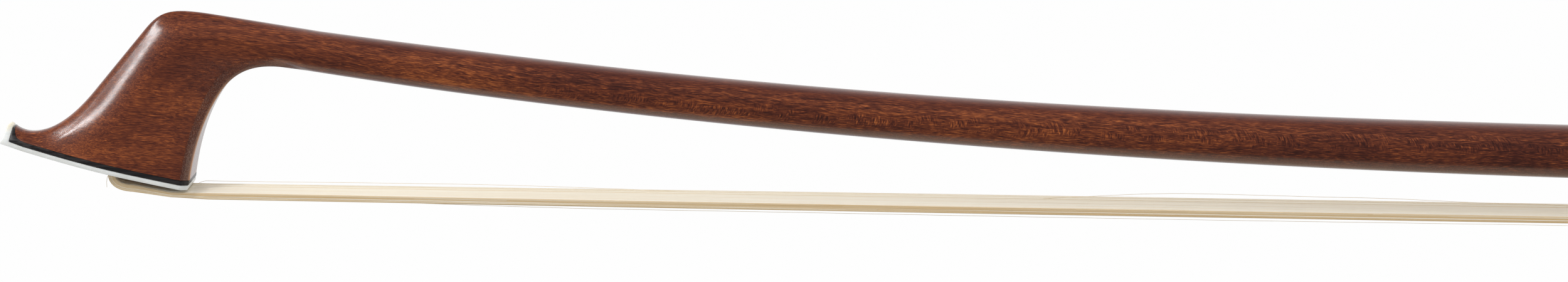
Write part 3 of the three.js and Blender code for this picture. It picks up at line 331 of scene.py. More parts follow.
def bowWood():
    # The stick carries its own grain places: millimetres along, across and up from the grain's line
    material, tree, shader = startMaterial("bowWood", Specular_IOR_Level=0.2, Coat_Weight=0.75,
                                           Coat_Roughness=0.15)
    grain = named(tree, "grain", "Vector")
    drift = minus(noise(grain, **wood["drift"]), 0.5)
    bent = vectorMaths("ADD", grain, stretched(combined({1: drift, 2: drift}), wood["driftReach"]))
    alongGrain = ("streak", "vein", "fibre", "band")
    streak, vein, fibre, band = (noise(bent, **wood[name]) for name in alongGrain)
    cloud, patch, pore = (noise(grain, **wood[name]) for name in ("cloud", "patch", "pore"))
    # Little ladders where the surface lies flat on the growth rings
    arc = times(maths("POWER", split(grain)[2], 2.0), wood["ringArc"])
    rings = noise(vectorMaths("ADD", bent, combined({0: arc})), **wood["rings"])
    ladder = times(named(tree, "ladder"), ranged(patch, *wood["patchEdge"]))
    lines = weighted((streak, wood["streakShare"]), (vein, 1 - wood["streakShare"]))
    lines = mixedValue(ladder, lines, rings)
    value = weighted((lines, 1 - wood["fibreShare"]), (fibre, wood["fibreShare"]),
                     (minus(band, 0.5), wood["cloudShare"]), (minus(cloud, 0.5), wood["cloudShare"]))
    value = mixedValue(named(tree, "calm"), minus(value, named(tree, "deep")), wood["calmValue"])
    color = ramp(value, wood["colors"])
    # Cut across its fibres the wood is speckled and less polished; the grey it turns is partly end
    # grain and partly painted reflection, strongest on the chamfer and underneath
    endOn = maths("ABSOLUTE", split(addNode(tree, "ShaderNodeTexCoord").outputs["Normal"])[0])
    flat = times(named(tree, "chamfer"), ranged(endOn, *wood["flatCut"]))
    endGrainAndSheen = plus(ranged(endOn, *wood["endCut"]), maths("MAXIMUM", flat, named(tree, "paintedUnderSheen")))
    color = mixed(times(endGrainAndSheen, wood["cutShare"]), color, ramp(pore, wood["endGrainAndSheenColors"]))
    # Painted light: the corner where the chamfer meets the rear is painted paler wood, standing in for
    # the bright light from behind that the rear face mirrors
    paintedBacklight = times(maths("POWER", named(tree, "paintedBacklight"), wood["backlightPower"]), wood["backlightShare"])
    color = mixed(paintedBacklight, color, screenColor(*wood["backlightColor"]))
    roughness = plus(ranged(fibre, *mid, *wood["gloss"]), times(endGrainAndSheen, wood["cutGloss"]))
    height = mixedValue(times(endGrainAndSheen, wood["poreShare"]), weighted((fibre, 0.5), (streak, 0.5)), pore)
    dress(shader, color, roughness, relief(height, *wood["relief"]))
    tree.links.new(relief(height, *wood["coatRelief"]), shader.inputs["Coat Normal"])
    return material


def strandPlace(tree):
    # The lapping's own places along and across its strand
    return combined({0: named(tree, "runLength"), 1: named(tree, "runAcross")})


def grained(name, look, colors, placeOf=objectPlace, **values):
    # Fine lines over soft clouds, which the colour, gloss and relief follow
    material, tree, shader = startMaterial(name, **values)
    place = placeOf(tree)
    line = noise(place, **look["lines"])
    value = line
    if "clouds" in look:
        clouds = noise(place, **look["clouds"])
        value = weighted((line, look["lineShare"]), (clouds, look["cloudShare"]))
    roughness = ranged(line, *mid, *look["gloss"]) if "gloss" in look else None
    dress(shader, ramp(value, colors), roughness, relief(line, *look["relief"]))
    return material


darkWood = {
    "lines": {"stretch": (60.0, 2600.0, 2600.0), "detail": 3.0, "roughness": 0.6}, "lineShare": 0.8,
    "clouds": {"scale": 90.0}, "cloudShare": 0.25, "gloss": (0.28, 0.42), "relief": (0.00002, 0.5),
}
baleen = {
    "lines": {"stretch": (250.0, 7000.0, 1.0), "detail": 3.0, "roughness": 0.6}, "lineShare": 0.6,
    "clouds": {"stretch": (60.0, 600.0, 1.0)}, "cloudShare": 0.4, "gloss": (0.26, 0.42),
    "relief": (0.00002, 0.6),
}
boundThread = {"lines": {"stretch": (3000.0, 3000.0, 900.0), "detail": 3.0}, "relief": (0.00004, 0.6)}
plugWood = {
    "lines": {"stretch": (140.0, 2400.0, 2400.0), "detail": 3.0, "roughness": 0.6},
    "gloss": (0.5, 0.7), "relief": (0.00003, 0.5),
}
bone = {
    "vein": {"stretch": (160.0, 1900.0, 1900.0)}, "veinShare": 0.4,
    "cloud": {"detail": 3.0, "scale": 300.0}, "cloudShare": 0.6,
    "colors": [(0.35, (222, 223, 219)), (0.6, (238, 240, 238)), (0.75, (232, 227, 214))],
    "toe": (0.0099, 0.0112, 0.0, 0.8), "toeColor": (238, 226, 196),
    "gloss": (0.25, 0.4), "relief": (0.00001, 0.4),
}


def milkyBone():
    # Bluish white facing with a milky depth, warmer at the toe
    material, tree, shader = startMaterial(
        "bone", Specular_IOR_Level=0.5, Subsurface_Weight=0.35,
        Subsurface_Radius=(0.0012, 0.0011, 0.001), Subsurface_Scale=1.0)
    place = objectPlace(tree)
    vein, cloud = noise(place, **bone["vein"]), noise(place, **bone["cloud"])
    color = ramp(weighted((cloud, bone["cloudShare"]), (vein, bone["veinShare"])), bone["colors"])
    color = mixed(ranged(split(place)[2], *bone["toe"]), color, screenColor(*bone["toeColor"]))
    dress(shader, color, ranged(vein, *mid, *bone["gloss"]), relief(vein, *bone["relief"]))
    return material


horsehair = {
    "length": {"stretch": (16.0, 6000.0, 6000.0), "detail": 3.0}, "lengthShare": 0.4, "toneShare": 0.7,
    "colors": [(0.1, (216, 184, 136)), (0.28, (228, 203, 162)), (0.48, (242, 229, 204)),
               (0.8, (254, 249, 237))],
    "gloss": (0.32, 0.46),
}


def bleachedHair():
    # Every hair keeps a tone of its own; the golden tone down the hank's sides is painted shade
    material, tree, shader = startMaterial("horsehair", Specular_IOR_Level=0.25)
    length = noise(objectPlace(tree), **horsehair["length"])
    value = weighted((named(tree, "tone"), horsehair["toneShare"]), (length, horsehair["lengthShare"]))
    dress(shader, ramp(value, horsehair["colors"]), ranged(length, *mid, *horsehair["gloss"]))
    return material


hide = {
    "pebbles": 1700.0, "pebbleShare": 0.5, "pebbleDepth": -0.7, "creaseDepth": 0.5, "wearShare": 0.6,
    "crease": {"detail": 4.0, "roughness": 0.65, "scale": 420.0}, "wear": {"scale": 70.0},
    "colors": [(0.3, (24, 19, 17)), (0.6, (42, 33, 29)), (0.85, (66, 52, 44))],
    "gloss": (0.38, 0.62), "relief": (0.00012, 0.9),
}


def grippedLeather():
    # Fine pebbled leather, polished where the thumb rests
    material, tree, shader = startMaterial("grippedLeather", Specular_IOR_Level=0.45)
    place = objectPlace(tree)
    values = {"Vector": place, "Scale": hide["pebbles"], "Randomness": 0.9}
    pebble = addNode(tree, "ShaderNodeTexVoronoi", values, feature="SMOOTH_F1").outputs["Distance"]
    crease, wear = noise(place, **hide["crease"]), noise(place, **hide["wear"])
    color = ramp(weighted((pebble, hide["pebbleShare"]), (wear, hide["wearShare"])), hide["colors"])
    height = weighted((pebble, hide["pebbleDepth"]), (crease, hide["creaseDepth"]))
    dress(shader, color, ranged(wear, *mid, *hide["gloss"]), relief(height, *hide["relief"]))
    return material


handWorn = {
    "scratch": {"stretch": (260.0, 5200.0, 5200.0), "detail": 3.0, "roughness": 0.65},
    "tarnish": {"detail": 4.0, "roughness": 0.6, "scale": 260.0}, "tarnishEdge": (0.5, 0.85),
    "glossEdge": (0.35, 0.65), "relief": (0.000006, 0.4),
}


def metal(name, bright, dull, gloss):
    # Hand-worn metal: hairline scratches, and duller where the hand doesn't rub it
    material, tree, shader = startMaterial(name, Metallic=1.0)
    place = objectPlace(tree)
    scratch, tarnish = noise(place, **handWorn["scratch"]), noise(place, **handWorn["tarnish"])
    roughness = ranged(weighted((scratch, 0.5), (tarnish, 0.5)), *handWorn["glossEdge"], *gloss)
    color = ramp(tarnish, zip(handWorn["tarnishEdge"], (bright, dull)))
    dress(shader, color, roughness, relief(scratch, *handWorn["relief"]))
    return material


shell = {
    "fold": {"detail": 3.0, "distortion": 2.2, "scale": 230.0},
    "growth": {"stretch": (260.0, 1500.0, 700.0), "distortion": 1.2},
    "colors": [(0.3, (196, 216, 208)), (0.42, (234, 238, 232)), (0.52, (236, 218, 220)),
               (0.62, (214, 230, 226)), (0.74, (240, 240, 228))],
    "lines": (0.35, 0.65, 0.0, 0.35), "lineColor": (188, 204, 200), "gloss": (0.14, 0.3),
    "relief": (0.00001, 0.4),
}


def motherOfPearl():
    # Soft clouds of green and rose between pale growth lines
    material, tree, shader = startMaterial("motherOfPearl", Specular_IOR_Level=0.7, Coat_Weight=0.6,
                                           Coat_Roughness=0.08)
    place = objectPlace(tree)
    fold, growth = noise(place, **shell["fold"]), noise(place, **shell["growth"])
    lines = ranged(growth, *shell["lines"])
    color = mixed(lines, ramp(fold, shell["colors"]), screenColor(*shell["lineColor"]))
    dress(shader, color, ranged(growth, *mid, *shell["gloss"]), relief(growth, *shell["relief"]))
    return material


finishes = {
    "wood": bowWood(),
    "liner": grained("linerWood", darkWood, [
        (0.45, (34, 32, 34)), (0.62, (58, 54, 55)), (0.8, (87, 81, 82.5))], Specular_IOR_Level=0.4),
    "facing": milkyBone(),
    "hair": bleachedHair(),
    "thread": grained("boundThread", boundThread, [
        (0.35, (206, 192, 160)), (0.65, (240, 231, 208))], Roughness=0.75, Sheen_Weight=0.3),
    "plug": grained("plugWood", plugWood, [(0.35, (172, 132, 88)), (0.65, (208, 170, 122))]),
    "leather": grippedLeather(),
    "lapping_pale": grained("paleBaleen", baleen, [
        (0.35, (172, 150, 108)), (0.52, (214, 198, 156)), (0.68, (236, 226, 196))], strandPlace,
        Specular_IOR_Level=0.5),
    "lapping_dark": grained("darkBaleen", baleen, [
        (0.35, (26, 20, 18)), (0.52, (44, 34, 29)), (0.68, (82, 62, 48))], strandPlace,
        Specular_IOR_Level=0.5),
    "ebony": grained("ebony", darkWood, [
        (0.45, (20, 18, 17)), (0.62, (40, 33, 29)), (0.8, (60, 49.5, 43.5))], Specular_IOR_Level=0.4),
    "silver": metal("silver", (216, 214, 208), (168, 163, 152), (0.2, 0.34)),
    "brass": metal("brass", (206, 172, 98), (158, 124, 66), (0.28, 0.42)),
    "steel": metal("steel", (176, 177, 180), (128, 127, 128), (0.26, 0.42)),
    "pearl": motherOfPearl(),
}
print("finishes made:", len(finishes))


# Mesh helpers

def mark(mesh, label, values, kind="FLOAT"):
    store = mesh.attributes.new(label, kind, "POINT").data
    store.foreach_set("value" if kind == "FLOAT" else "vector", values)


def coat(piece, slot):
    piece.data.materials.clear()
    piece.data.materials.append(finishes[slot])


def makePiece(name, points, faces, slot=None):
    mesh = bpy.data.meshes.new(name)
    mesh.from_pydata([Vector(point) * mm for point in points], [], faces)
    mesh.update()
    piece = addPiece(name, mesh)
    if slot:
        coat(piece, slot)
    return piece


def settle(piece):
    # Turns what the modifiers make into the piece's own mesh
    graph = bpy.context.evaluated_depsgraph_get()
    made = bpy.data.meshes.new_from_object(
        piece.evaluated_get(graph), preserve_all_data_layers=True, depsgraph=graph)
    piece.modifiers.clear()
    made.name = piece.name
    piece.data = made


def cleanUp(piece, merge=0.0005, flat=None):
    # Merges doubles, dissolves flat neighbours where asked, and turns the faces outwards
    shape = bmesh.new()
    shape.from_mesh(piece.data)
    bmesh.ops.remove_doubles(shape, verts=shape.verts, dist=merge * mm)
    if flat:
        bmesh.ops.dissolve_limit(shape, angle_limit=math.radians(flat), verts=shape.verts,
                                 edges=shape.edges)
    bmesh.ops.recalc_face_normals(shape, faces=shape.faces)
    shape.to_mesh(piece.data)
    shape.free()


def shade(piece, angle=35.0):
    piece.data.shade_smooth()
    piece.data.set_sharp_from_angle(angle=math.radians(angle))


def soften(piece, width, angle=30.0):
    bevel = piece.modifiers.new("soften", "BEVEL")
    bevel.width, bevel.segments = width * mm, 2
    bevel.limit_method, bevel.angle_limit = "ANGLE", math.radians(angle)
    settle(piece)


def carve(piece, cutters, operation="DIFFERENCE"):
    for cutter in cutters:
        step = piece.modifiers.new("carve", "BOOLEAN")
        step.operation, step.solver, step.object = operation, "EXACT", cutter
    settle(piece)
    for cutter in cutters:
        bpy.data.objects.remove(cutter)


def finishPiece(piece, body, *replaced):
    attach(piece, body)
    if replaced:
        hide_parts(*replaced)
    return piece


def capFaces(start, pointCount):
    # Closes a ring whose points mirror about its middle with strips across it
    return [(start + i, start + i + 1, start + pointCount - 2 - i, start + pointCount - 1 - i)
            for i in range(pointCount // 2 - 1)]


def loft(name, rings, slot=None, marks=None, around=False):
    # A skin over rings of points, capped at both ends or carried around from the last to the first
    count, last = len(rings[0]), len(rings) - 1
    faces = []
    for ring in range(last + around):
        ahead = (ring + 1) % len(rings) * count
        for i in range(count):
            j = (i + 1) % count
            faces.append((ring * count + i, ring * count + j, ahead + j, ahead + i))
    if not around:
        faces += capFaces(0, count) + capFaces(last * count, count)
    piece = makePiece(name, [point for ring in rings for point in ring], faces, slot)
    for label, values in (marks or {}).items():
        mark(piece.data, label, values)
    cleanUp(piece)
    return piece


def turned(name, profile, facets, matrix, slot=None, phase=0.0):
    # A profile of (place, radius) about the X axis; ends on the axis close in one point
    points, rings = [], []
    for place, radius in profile:
        if radius <= 0:
            rings.append([len(points)] * facets)
            points.append((place, 0, 0))
            continue
        rings.append(list(range(len(points), len(points) + facets)))
        for i in range(facets):
            angle = 2 * math.pi * i / facets + phase
            points.append((place, radius * math.cos(angle), radius * math.sin(angle)))
    if profile[0] == profile[-1]:
        rings[-1] = rings[0]
    faces = []
    for first, second in zip(rings, rings[1:]):
        for i in range(facets):
            j = (i + 1) % facets
            corners = list(dict.fromkeys([first[i], first[j], second[j], second[i]]))
            if len(corners) > 2:
                faces.append(corners)
    piece = makePiece(name, [matrix @ Vector(point) for point in points], faces, slot)
    cleanUp(piece)
    return piece


def blockPiece(name, low, high, matrix=Matrix()):
    xs, ys, zs = zip(low, high)
    corners = [matrix @ Vector((x, y, z)) for x in xs for y in ys for z in zs]
    faces = [(0, 1, 3, 2), (4, 6, 7, 5), (0, 4, 5, 1), (2, 3, 7, 6), (0, 2, 6, 4), (1, 5, 7, 3)]
    piece = makePiece(name, corners, faces)
    cleanUp(piece)
    return piece


def rodPiece(name, start, end, radius):
    return turned(name, [(start, 0), (start, radius), (end, radius), (end, 0)], 32, handleMatrix)


# The bow's own measures, as its solids have them

bow = {
    "overallLength": 714.0, "frogDepth": 24.9, "hairWidthAtHead": 8.4, "hairWidthAtFrog": 12.2,
    "hairThickness": 1.1, "workingGap": 0.3, "glueLine": 0.1,
}
stick = {
    "headDiameter": 6.2, "handleDiameter": 8.7, "taperPower": 2.1, "acrossFlats": 8.8,
    "octagonBlend": 13.0, "lowHeight": 10.5, "lowFromTip": 307.0, "camberRise": 12.45,
    "camberPower": 2.75, "handleCamber": 180.0, "nippleDiameter": 5.2, "nippleLength": 2.2,
    "shaftRings": 110, "handleRings": 30, "eyeletPlace": 24.0,
    "mortiseLow": (-7.0, -2.7, -5.4), "mortiseHigh": (5.0, 2.7, 2.8),  # about the eyelet
    "fullness": [(-309, 0), (-290, 0.1), (-250, 0.05), (-215, 0.05), (-182, 0.1), (-140, 0.16),
                 (-95, 0.17), (20, 0.1), (120, 0)],  # place and radius that the plane left on
}
head = {
    "length": 48.0, "height": 29.0, "plateRear": 29.0, "plateRearHeight": 3.46, "crownTightness": 0.85,
    "crownStart": (0.667, 0.981), "crownCorner": (0.515, 1.017), "slopeTop": (0.454, 0.89),
    "slopeFoot": (0.292, 0.559), "scoop": (0.186, 0.348), "saddle": (0.098, 0.348),
    "nose": (0.069, 0.348), "noseTip": (0.046, 0.376), "throatStart": (0.892, 0.71),
    "throatCorner": (0.767, 0.74), "throatTurn": (0.704, 0.59), "throatFoot": (0.629, 0.41),
    "sole": (0.3417, 0.1993), "soleFront": (0.0792, 0.3017), "noseTurn": (0.0505, 0.314),
    "noseFront": (0.0495, 0.338), "plateWidth": 10.4, "noseWidth": 3.8, "noseTopWidth": 1.9,
    "ridgeWidth": 0.6, "taperLength": 20.0, "taperPower": 1.2, "flareStart": 0.3, "flarePower": 1.3,
    "cheekEnd": 0.6, "frontPower": 1.8, "rearFlatThroat": 0.5, "rearFlatPlate": 0.72,
    "chamferThroat": 2.2, "chamferPlate": 1.15, "rearCheek": 0.96, "sections": 110,
}
mortise = {  # from the bow's tip for the head's, from the ferrule's front edge for the frog's
    "headFront": 16.1, "headRear": 25.4, "headRoof": 12.5, "headHalfWidth": 3.0, "headKnot": 3.2,
    "frogFront": 21.5, "frogRear": 32.0, "frogRoof": 11.4, "frogKnot": 3.4,
}
frog = {
    "length": 50.0, "gap": 3.0, "thumbTip": 5.8, "travel": 4.0, "leatherGap": 1.3,
    "lowWidth": 13.5, "lowHeight": 3.4, "highWidth": 10.6, "highHeight": 17.0,
}
button = {
    "length": 16.3, "diameter": 9.4, "capDiameter": 9.2, "coreWidth": 8.9, "spigotDiameter": 5.8,
    "boreGap": 0.2, "pearlDiameter": 5.2, "pearlThickness": 0.7, "seatGap": 0.12, "coreEdge": 0.14,
    "facets": 64,
    # Outlines by their place from the butt and their drop below the full radius
    "ringOutline": [(0.3, 0.45), (0.42, 0.15), (0.75, 0), (1.15, 0), (1.3, 0.16), (1.45, 0), (2.2, 0),
                    (2.35, 0.16), (2.5, 0), (3.1, 0), (3.42, 0.15), (3.54, 0.4)],
    "coreOutline": [(3.58, 0.4), (3.95, 0), (11.9, 0), (12.26, 0.4)],
    "capOutline": [(12.3, 0.4), (12.42, 0.15), (12.75, 0), (13.1, 0), (13.25, 0.16), (13.4, 0),
                   (15.5, 0), (15.95, 0.16), (16.22, 0.5), (16.3, 0.9)],
    "capFloor": 13.1,
}
screw = {
    "tipEnd": 54.0, "threadEnd": 42.0, "shankStart": 6.0, "radius": 1.5, "root": 1.24,
    "tipRadius": 1.1, "pitch": 0.8, "tangRadius": 1.1, "tangEnd": 11.5, "facets": 40,
    "pointRadius": 0.7, "pointLength": 0.5, "slope": 0.3, "threadInset": 0.6, "sunk": 0.02,
    "crestWidth": 1.2, "crestRounding": 0.45, "steps": 24,
}
leather = {
    "length": 31.0, "thickness": 0.95, "edgeThickness": 0.3, "edgeLength": 3.5, "seamStep": 0.28,
    "seamAngle": 2.5, "seamSpread": 0.9, "seamAtEdge": 0.4, "underside": 0.02, "rings": 40,
    "points": 96,
}
lapping = {
    "turns": 20.0, "pitch": 2.9, "width": 1.4, "thickness": 0.5, "rounding": 0.16, "steps": 40,
}

tipX = -bow["overallLength"] / 2
headJointX = tipX + head["length"]
plateRearX = tipX + head["plateRear"]
camberLowX = tipX + stick["lowFromTip"]
handleStartX = camberLowX + stick["handleCamber"]
ferruleFront = frog["length"] + frog["gap"]
leatherStart = ferruleFront - frog["thumbTip"] + frog["travel"] + frog["leatherGap"]
strandWidth = lapping["pitch"] / 2 - bow["workingGap"]
lappingStart = leatherStart + leather["length"] + bow["workingGap"]
lappingLength = (lapping["turns"] + 0.5) * lapping["pitch"] + strandWidth
taperEndX = bow["overallLength"] / 2 - button["length"] - lappingStart - lappingLength


def buttPlace(tilt):
    x = (bow["overallLength"] / 2 - button["length"] * math.cos(tilt)
         - button["capDiameter"] / 2 * math.sin(tilt))
    run = x - camberLowX - stick["handleCamber"] / 2
    return x, stick["lowHeight"] + run * math.tan(tilt)


handleTilt = 0.0
for attempt in range(8):
    run = (buttPlace(handleTilt)[0] - ferruleFront * math.cos(handleTilt) - camberLowX
           - stick["handleCamber"] / 2)
    handleTilt = math.atan((bow["frogDepth"] * math.cos(handleTilt) - stick["lowHeight"]) / run)
buttX, buttZ = buttPlace(handleTilt)
handleMatrix = Matrix.Translation((buttX, 0, buttZ)) @ Matrix.Rotation(-handleTilt, 4, "Y")
frogMatrix = handleMatrix @ Matrix.Translation((-ferruleFront, 0, -bow["frogDepth"]))


def smooth(value):
    share = np.clip(value, 0, 1)
    return share * share * (3 - 2 * share)


def rising(value, start, length):
    return smooth((value - start) / length)


def between(first, second, share):
    return first + (second - first) * share


def axisHeight(x):
    if x < camberLowX:
        share = (camberLowX - x) / (camberLowX - headJointX)
        return stick["lowHeight"] + stick["camberRise"] * share ** stick["camberPower"]
    rise = math.tan(handleTilt)
    if x < handleStartX:
        return stick["lowHeight"] + rise * (x - camberLowX) ** 2 / stick["handleCamber"] / 2
    return stick["lowHeight"] + rise * (x - camberLowX - stick["handleCamber"] / 2)


def axisSlope(x):
    return (axisHeight(x + 0.01) - axisHeight(x - 0.01)) / 0.02


def stickRadius(x):
    share = np.clip((taperEndX - x) / (taperEndX - headJointX), 0, 1)
    spread = stick["handleDiameter"] - stick["headDiameter"]
    left = np.interp(x, *zip(*stick["fullness"]))
    return (stick["handleDiameter"] - spread * share ** stick["taperPower"]) / 2 + left


def handleRadius(angle, place):
    share = smooth((place + leatherStart + leather["length"]) / stick["octagonBlend"])
    facet = math.pi / 4
    fromFlat = (angle + facet / 2) % facet - facet / 2
    return between(stick["handleDiameter"] / 2, stick["acrossFlats"] / 2 / math.cos(fromFlat), share)


def besideAxis(x, angle, radius):
    # Angles count from the side of the hair
    tilt = math.atan(axisSlope(x))
    up = -math.cos(angle) * radius
    return (x - math.sin(tilt) * up, math.sin(angle) * radius, axisHeight(x) + math.cos(tilt) * up)


# Stick and head: one loft, with close pairs of points where an edge runs

sectionPlaces = [
    -0.25, -0.05, 0.06, 0.35, 0.65, 0.93, 1.07, 1.4, 1.8, 2.2, 2.6, 3.0, 3.4, 3.7, 3.93, 4.07, 4.3,
    4.6, 4.9, 5.2, 5.5, 5.8, 6.1, 6.4, 6.7, 6.93, 7.07, 7.35, 7.7, 8.05, 8.4, 8.75, 9.1, 9.45, 9.7,
    9.93, 10.07, 10.3, 10.55, 10.8, 11.0, 11.25,
]
placeSpan = 12  # places in half a turn; the first lies half a place before the rear
frontStart, frontEnd = 5.4, 11.3  # where the cheek turns to the front, and where the ridge is
figure = {  # angles are from the side; a pair is where it starts to rise and over what length
    "middleReach": 0.4, "middlePlace": -205.0, "middleLength": 75.0,
    "ladderAngle": (0.5, -0.4), "ladderStart": (-290.0, 40.0), "ladderShare": 0.8,
    "calmAngle": (0.55, 0.5), "calmStart": (-325.0, 30.0), "calmShare": 0.6,
    "headEnd": (-285.0, -30.0), "headCalm": 0.28, "headSlope": -0.042, "headBlend": 30.0,
    "underAngle": (0.5, 0.4), "underStart": (-332.0, 16.0), "underEnd": (330.0, -20.0),
    "underShare": 0.45, "chamferPlaces": (0.03, 0.96), "backlightPlaces": (-0.1, 0.1),
    "backlightStart": (0.25, 0.3),
    "deep": [(-322, -0.028), (-312, 0.01), (-290, 0.004), (-255, 0), (-225, 0.01), (-170, 0.022),
             (-125, 0.03)],  # place and how much darker
}


def bend(first, control, last, count=90):
    share = np.linspace(0, 1, count)[:, None]
    first, control, last = (np.array(point) for point in (first, control, last))
    return first * (1 - share) ** 2 + 2 * control * share * (1 - share) + last * share ** 2


def cubic(first, near, far, last, count=90):
    share = np.linspace(0, 1, count)[:, None]
    return (first * (1 - share) ** 3 + 3 * near * share * (1 - share) ** 2
            + 3 * far * share ** 2 * (1 - share) + last * share ** 3)


def pathThrough(*runs):
    points = np.vstack([np.array(run) for run in runs])
    lengths = np.linalg.norm(np.diff(points, axis=0), axis=1)
    kept = np.concatenate([[True], lengths > 1e-9])
    reach = np.concatenate([[0], np.cumsum(lengths)])
    return points[kept], reach[kept] / reach[-1]


def along(path, share):
    points, reach = path
    return np.array([np.interp(share, reach, points[:, 0]), np.interp(share, reach, points[:, 1])])


def headPoint(lengthShare, heightShare):
    return np.array([tipX + lengthShare * head["length"], heightShare * head["height"]])


def headSpot(name):
    return headPoint(*head[name])


def headEnd(side):
    x, y, z = besideAxis(headJointX, math.pi if side > 0 else 0.0, stickRadius(headJointX))
    return np.array([x, z])


crownStart, crownCorner, slopeTop, slopeFoot, saddle, noseTip, throatStart, throatTurn, soleFront = (
    headSpot(name) for name in ("crownStart", "crownCorner", "slopeTop", "slopeFoot", "saddle",
                                "noseTip", "throatStart", "throatTurn", "soleFront"))
plateRear = np.array([plateRearX, head["plateRearHeight"]])
outerPath = pathThrough(
    [headEnd(1), crownStart],
    cubic(crownStart, between(crownStart, crownCorner, head["crownTightness"]),
          between(slopeTop, crownCorner, head["crownTightness"]), slopeTop),
    [slopeTop, slopeFoot],
    bend(slopeFoot, headSpot("scoop"), saddle),
    bend(saddle, headSpot("nose"), noseTip),
)
innerPath = pathThrough(
    [headEnd(-1), throatStart],
    bend(throatStart, headSpot("throatCorner"), throatTurn),
    bend(throatTurn, headSpot("throatFoot"), plateRear),
)
soleRun = bend(plateRear, headSpot("sole"), soleFront)
noseRun = np.vstack([bend(soleFront, headSpot("noseTurn"), headSpot("noseFront"), 30), [noseTip]])
endPath = pathThrough(soleRun, noseRun)


def sidePoint(share, across):
    inner, outer = along(innerPath, share), along(outerPath, share)
    start = between(headEnd(-1), headEnd(1), across)
    corners = start * (1 - share) + between(plateRear, noseTip, across) * share
    ends = start * (1 - share) + along(endPath, across) * share
    return between(inner, outer, across) + ends - corners


def plateHalfWidth(fromTip):
    share = math.sin(math.pi / 2 * np.clip(fromTip / head["taperLength"], 0, 1))
    return between(head["noseWidth"], head["plateWidth"], share ** head["taperPower"]) / 2


def soleHalfWidth(across):
    x, z = along(endPath, across)
    onSole = plateHalfWidth(x - tipX)
    rise = np.clip((z - soleFront[1]) / (noseTip[1] - soleFront[1]), 0, 1)
    return onSole if x > soleFront[0] else between(onSole, head["noseTopWidth"] / 2, rise)


def carvedPoint(place, cheek, chamfer, flat, plateBlend, share):
    # How far across and how wide the carved head is at a place of its section
    def onCheek(part):
        across = between(chamfer, head["cheekEnd"], part)
        width = cheek * between(head["rearCheek"], 1, smooth(part * 2))
        return across, between(width, soleHalfWidth(across), plateBlend)

    if place <= 0:
        return 0.0, flat * (place + 0.5) / 0.5
    if place <= 1:
        across, width = onCheek(0)
        return across * place, between(flat, width, place)
    if place <= frontStart:
        return onCheek((place - 1) / (frontStart - 1))
    part = (place - frontStart) / (frontEnd - frontStart)
    across = between(head["cheekEnd"], 1, part)
    ridge = between(head["ridgeWidth"], head["noseTopWidth"], smooth(share * 2 - 1)) / 2
    width = between(cheek, ridge, part ** head["frontPower"])
    width = between(width, soleHalfWidth(across), plateBlend)
    return across, width * min((placeSpan - 0.5 - place) / 0.5, 1) ** 0.7


def mirrored(half):
    return half + [(x, -y, z) for x, y, z in reversed(half)]


def headRing(share):
    flareStart = head["flareStart"]
    flare = rising(share, flareStart, 1 - flareStart) ** head["flarePower"]
    cheek = between(stickRadius(headJointX), head["plateWidth"] / 2, flare)
    length = np.linalg.norm(along(innerPath, share) - along(outerPath, share))
    chamfer = between(head["chamferThroat"], head["chamferPlate"], smooth(share)) / length
    flat = cheek * between(head["rearFlatThroat"], head["rearFlatPlate"], smooth(share))
    rearBlend = rising(share, 0, flareStart)
    frontBlend = rising(share, flareStart / 2, flareStart)
    plateBlend = rising(share, 1 - flareStart, flareStart)
    half = []
    for place in sectionPlaces:
        angle = math.pi * (place + 0.5) / placeSpan
        carved = carvedPoint(place, cheek, chamfer, flat, plateBlend, share)
        turn = between(rearBlend, frontBlend, np.clip(place / (placeSpan - 1), 0, 1))
        across = between((1 - math.cos(angle)) / 2, carved[0], turn)
        width = between(stickRadius(headJointX) * math.sin(angle), carved[1], turn)
        x, z = sidePoint(share, across)
        half.append((x, width, z))
    return mirrored(half)


def stickRing(x, radiusAt):
    angles = [math.pi * (place + 0.5) / placeSpan for place in sectionPlaces]
    return mirrored([besideAxis(x, angle, radiusAt(angle)) for angle in angles])


def grainLine():
    # Height of the grain's line: it follows the stick and eases to nearly level in the head
    places = np.linspace(tipX, headJointX, 200)
    turn = rising(places, headJointX - figure["headBlend"], figure["headBlend"])
    slopes = between(figure["headSlope"], axisSlope(headJointX), turn)
    heights = np.cumsum(slopes) * (places[1] - places[0])
    heights += axisHeight(headJointX) - heights[-1]
    rest = np.linspace(headJointX, buttX + 10, 400)[1:]
    return np.concatenate([places, rest]), np.concatenate([heights, [axisHeight(x) for x in rest]])


def layGrain(piece):
    points = np.empty(len(piece.data.vertices) * 3)
    piece.data.vertices.foreach_get("co", points)
    x, y, z = points.reshape(-1, 3).T / mm
    up = z - np.interp(x, *grainLine())
    mark(piece.data, "grain", np.stack([x, y, up], axis=1).ravel(), "FLOAT_VECTOR")
    # The ladders wander along both sides of the shaft, which is calmer above and below
    angle = np.arctan2(up, np.abs(y))
    middle = figure["middleReach"] * np.sin((x - figure["middlePlace"]) / figure["middleLength"])
    ladder = (rising(np.abs(angle - middle), *figure["ladderAngle"]) * rising(x, *figure["ladderStart"])
              * figure["ladderShare"])
    calm = (rising(np.abs(angle), *figure["calmAngle"]) * rising(x, *figure["calmStart"])
            * figure["calmShare"])
    # Painted reflection underneath from the throat on: the underside is greyed as gloss of the pale
    # surroundings would grey it; deeper in colour behind it and away from the head
    paintedUnderSheen = (rising(-angle, *figure["underAngle"]) * rising(x, *figure["underStart"])
             * rising(x, *figure["underEnd"]) * figure["underShare"])
    mark(piece.data, "ladder", ladder)
    mark(piece.data, "calm", np.maximum(calm, figure["headCalm"] * rising(x, *figure["headEnd"])))
    mark(piece.data, "paintedUnderSheen", paintedUnderSheen)
    mark(piece.data, "deep", np.interp(x, *zip(*figure["deep"])))


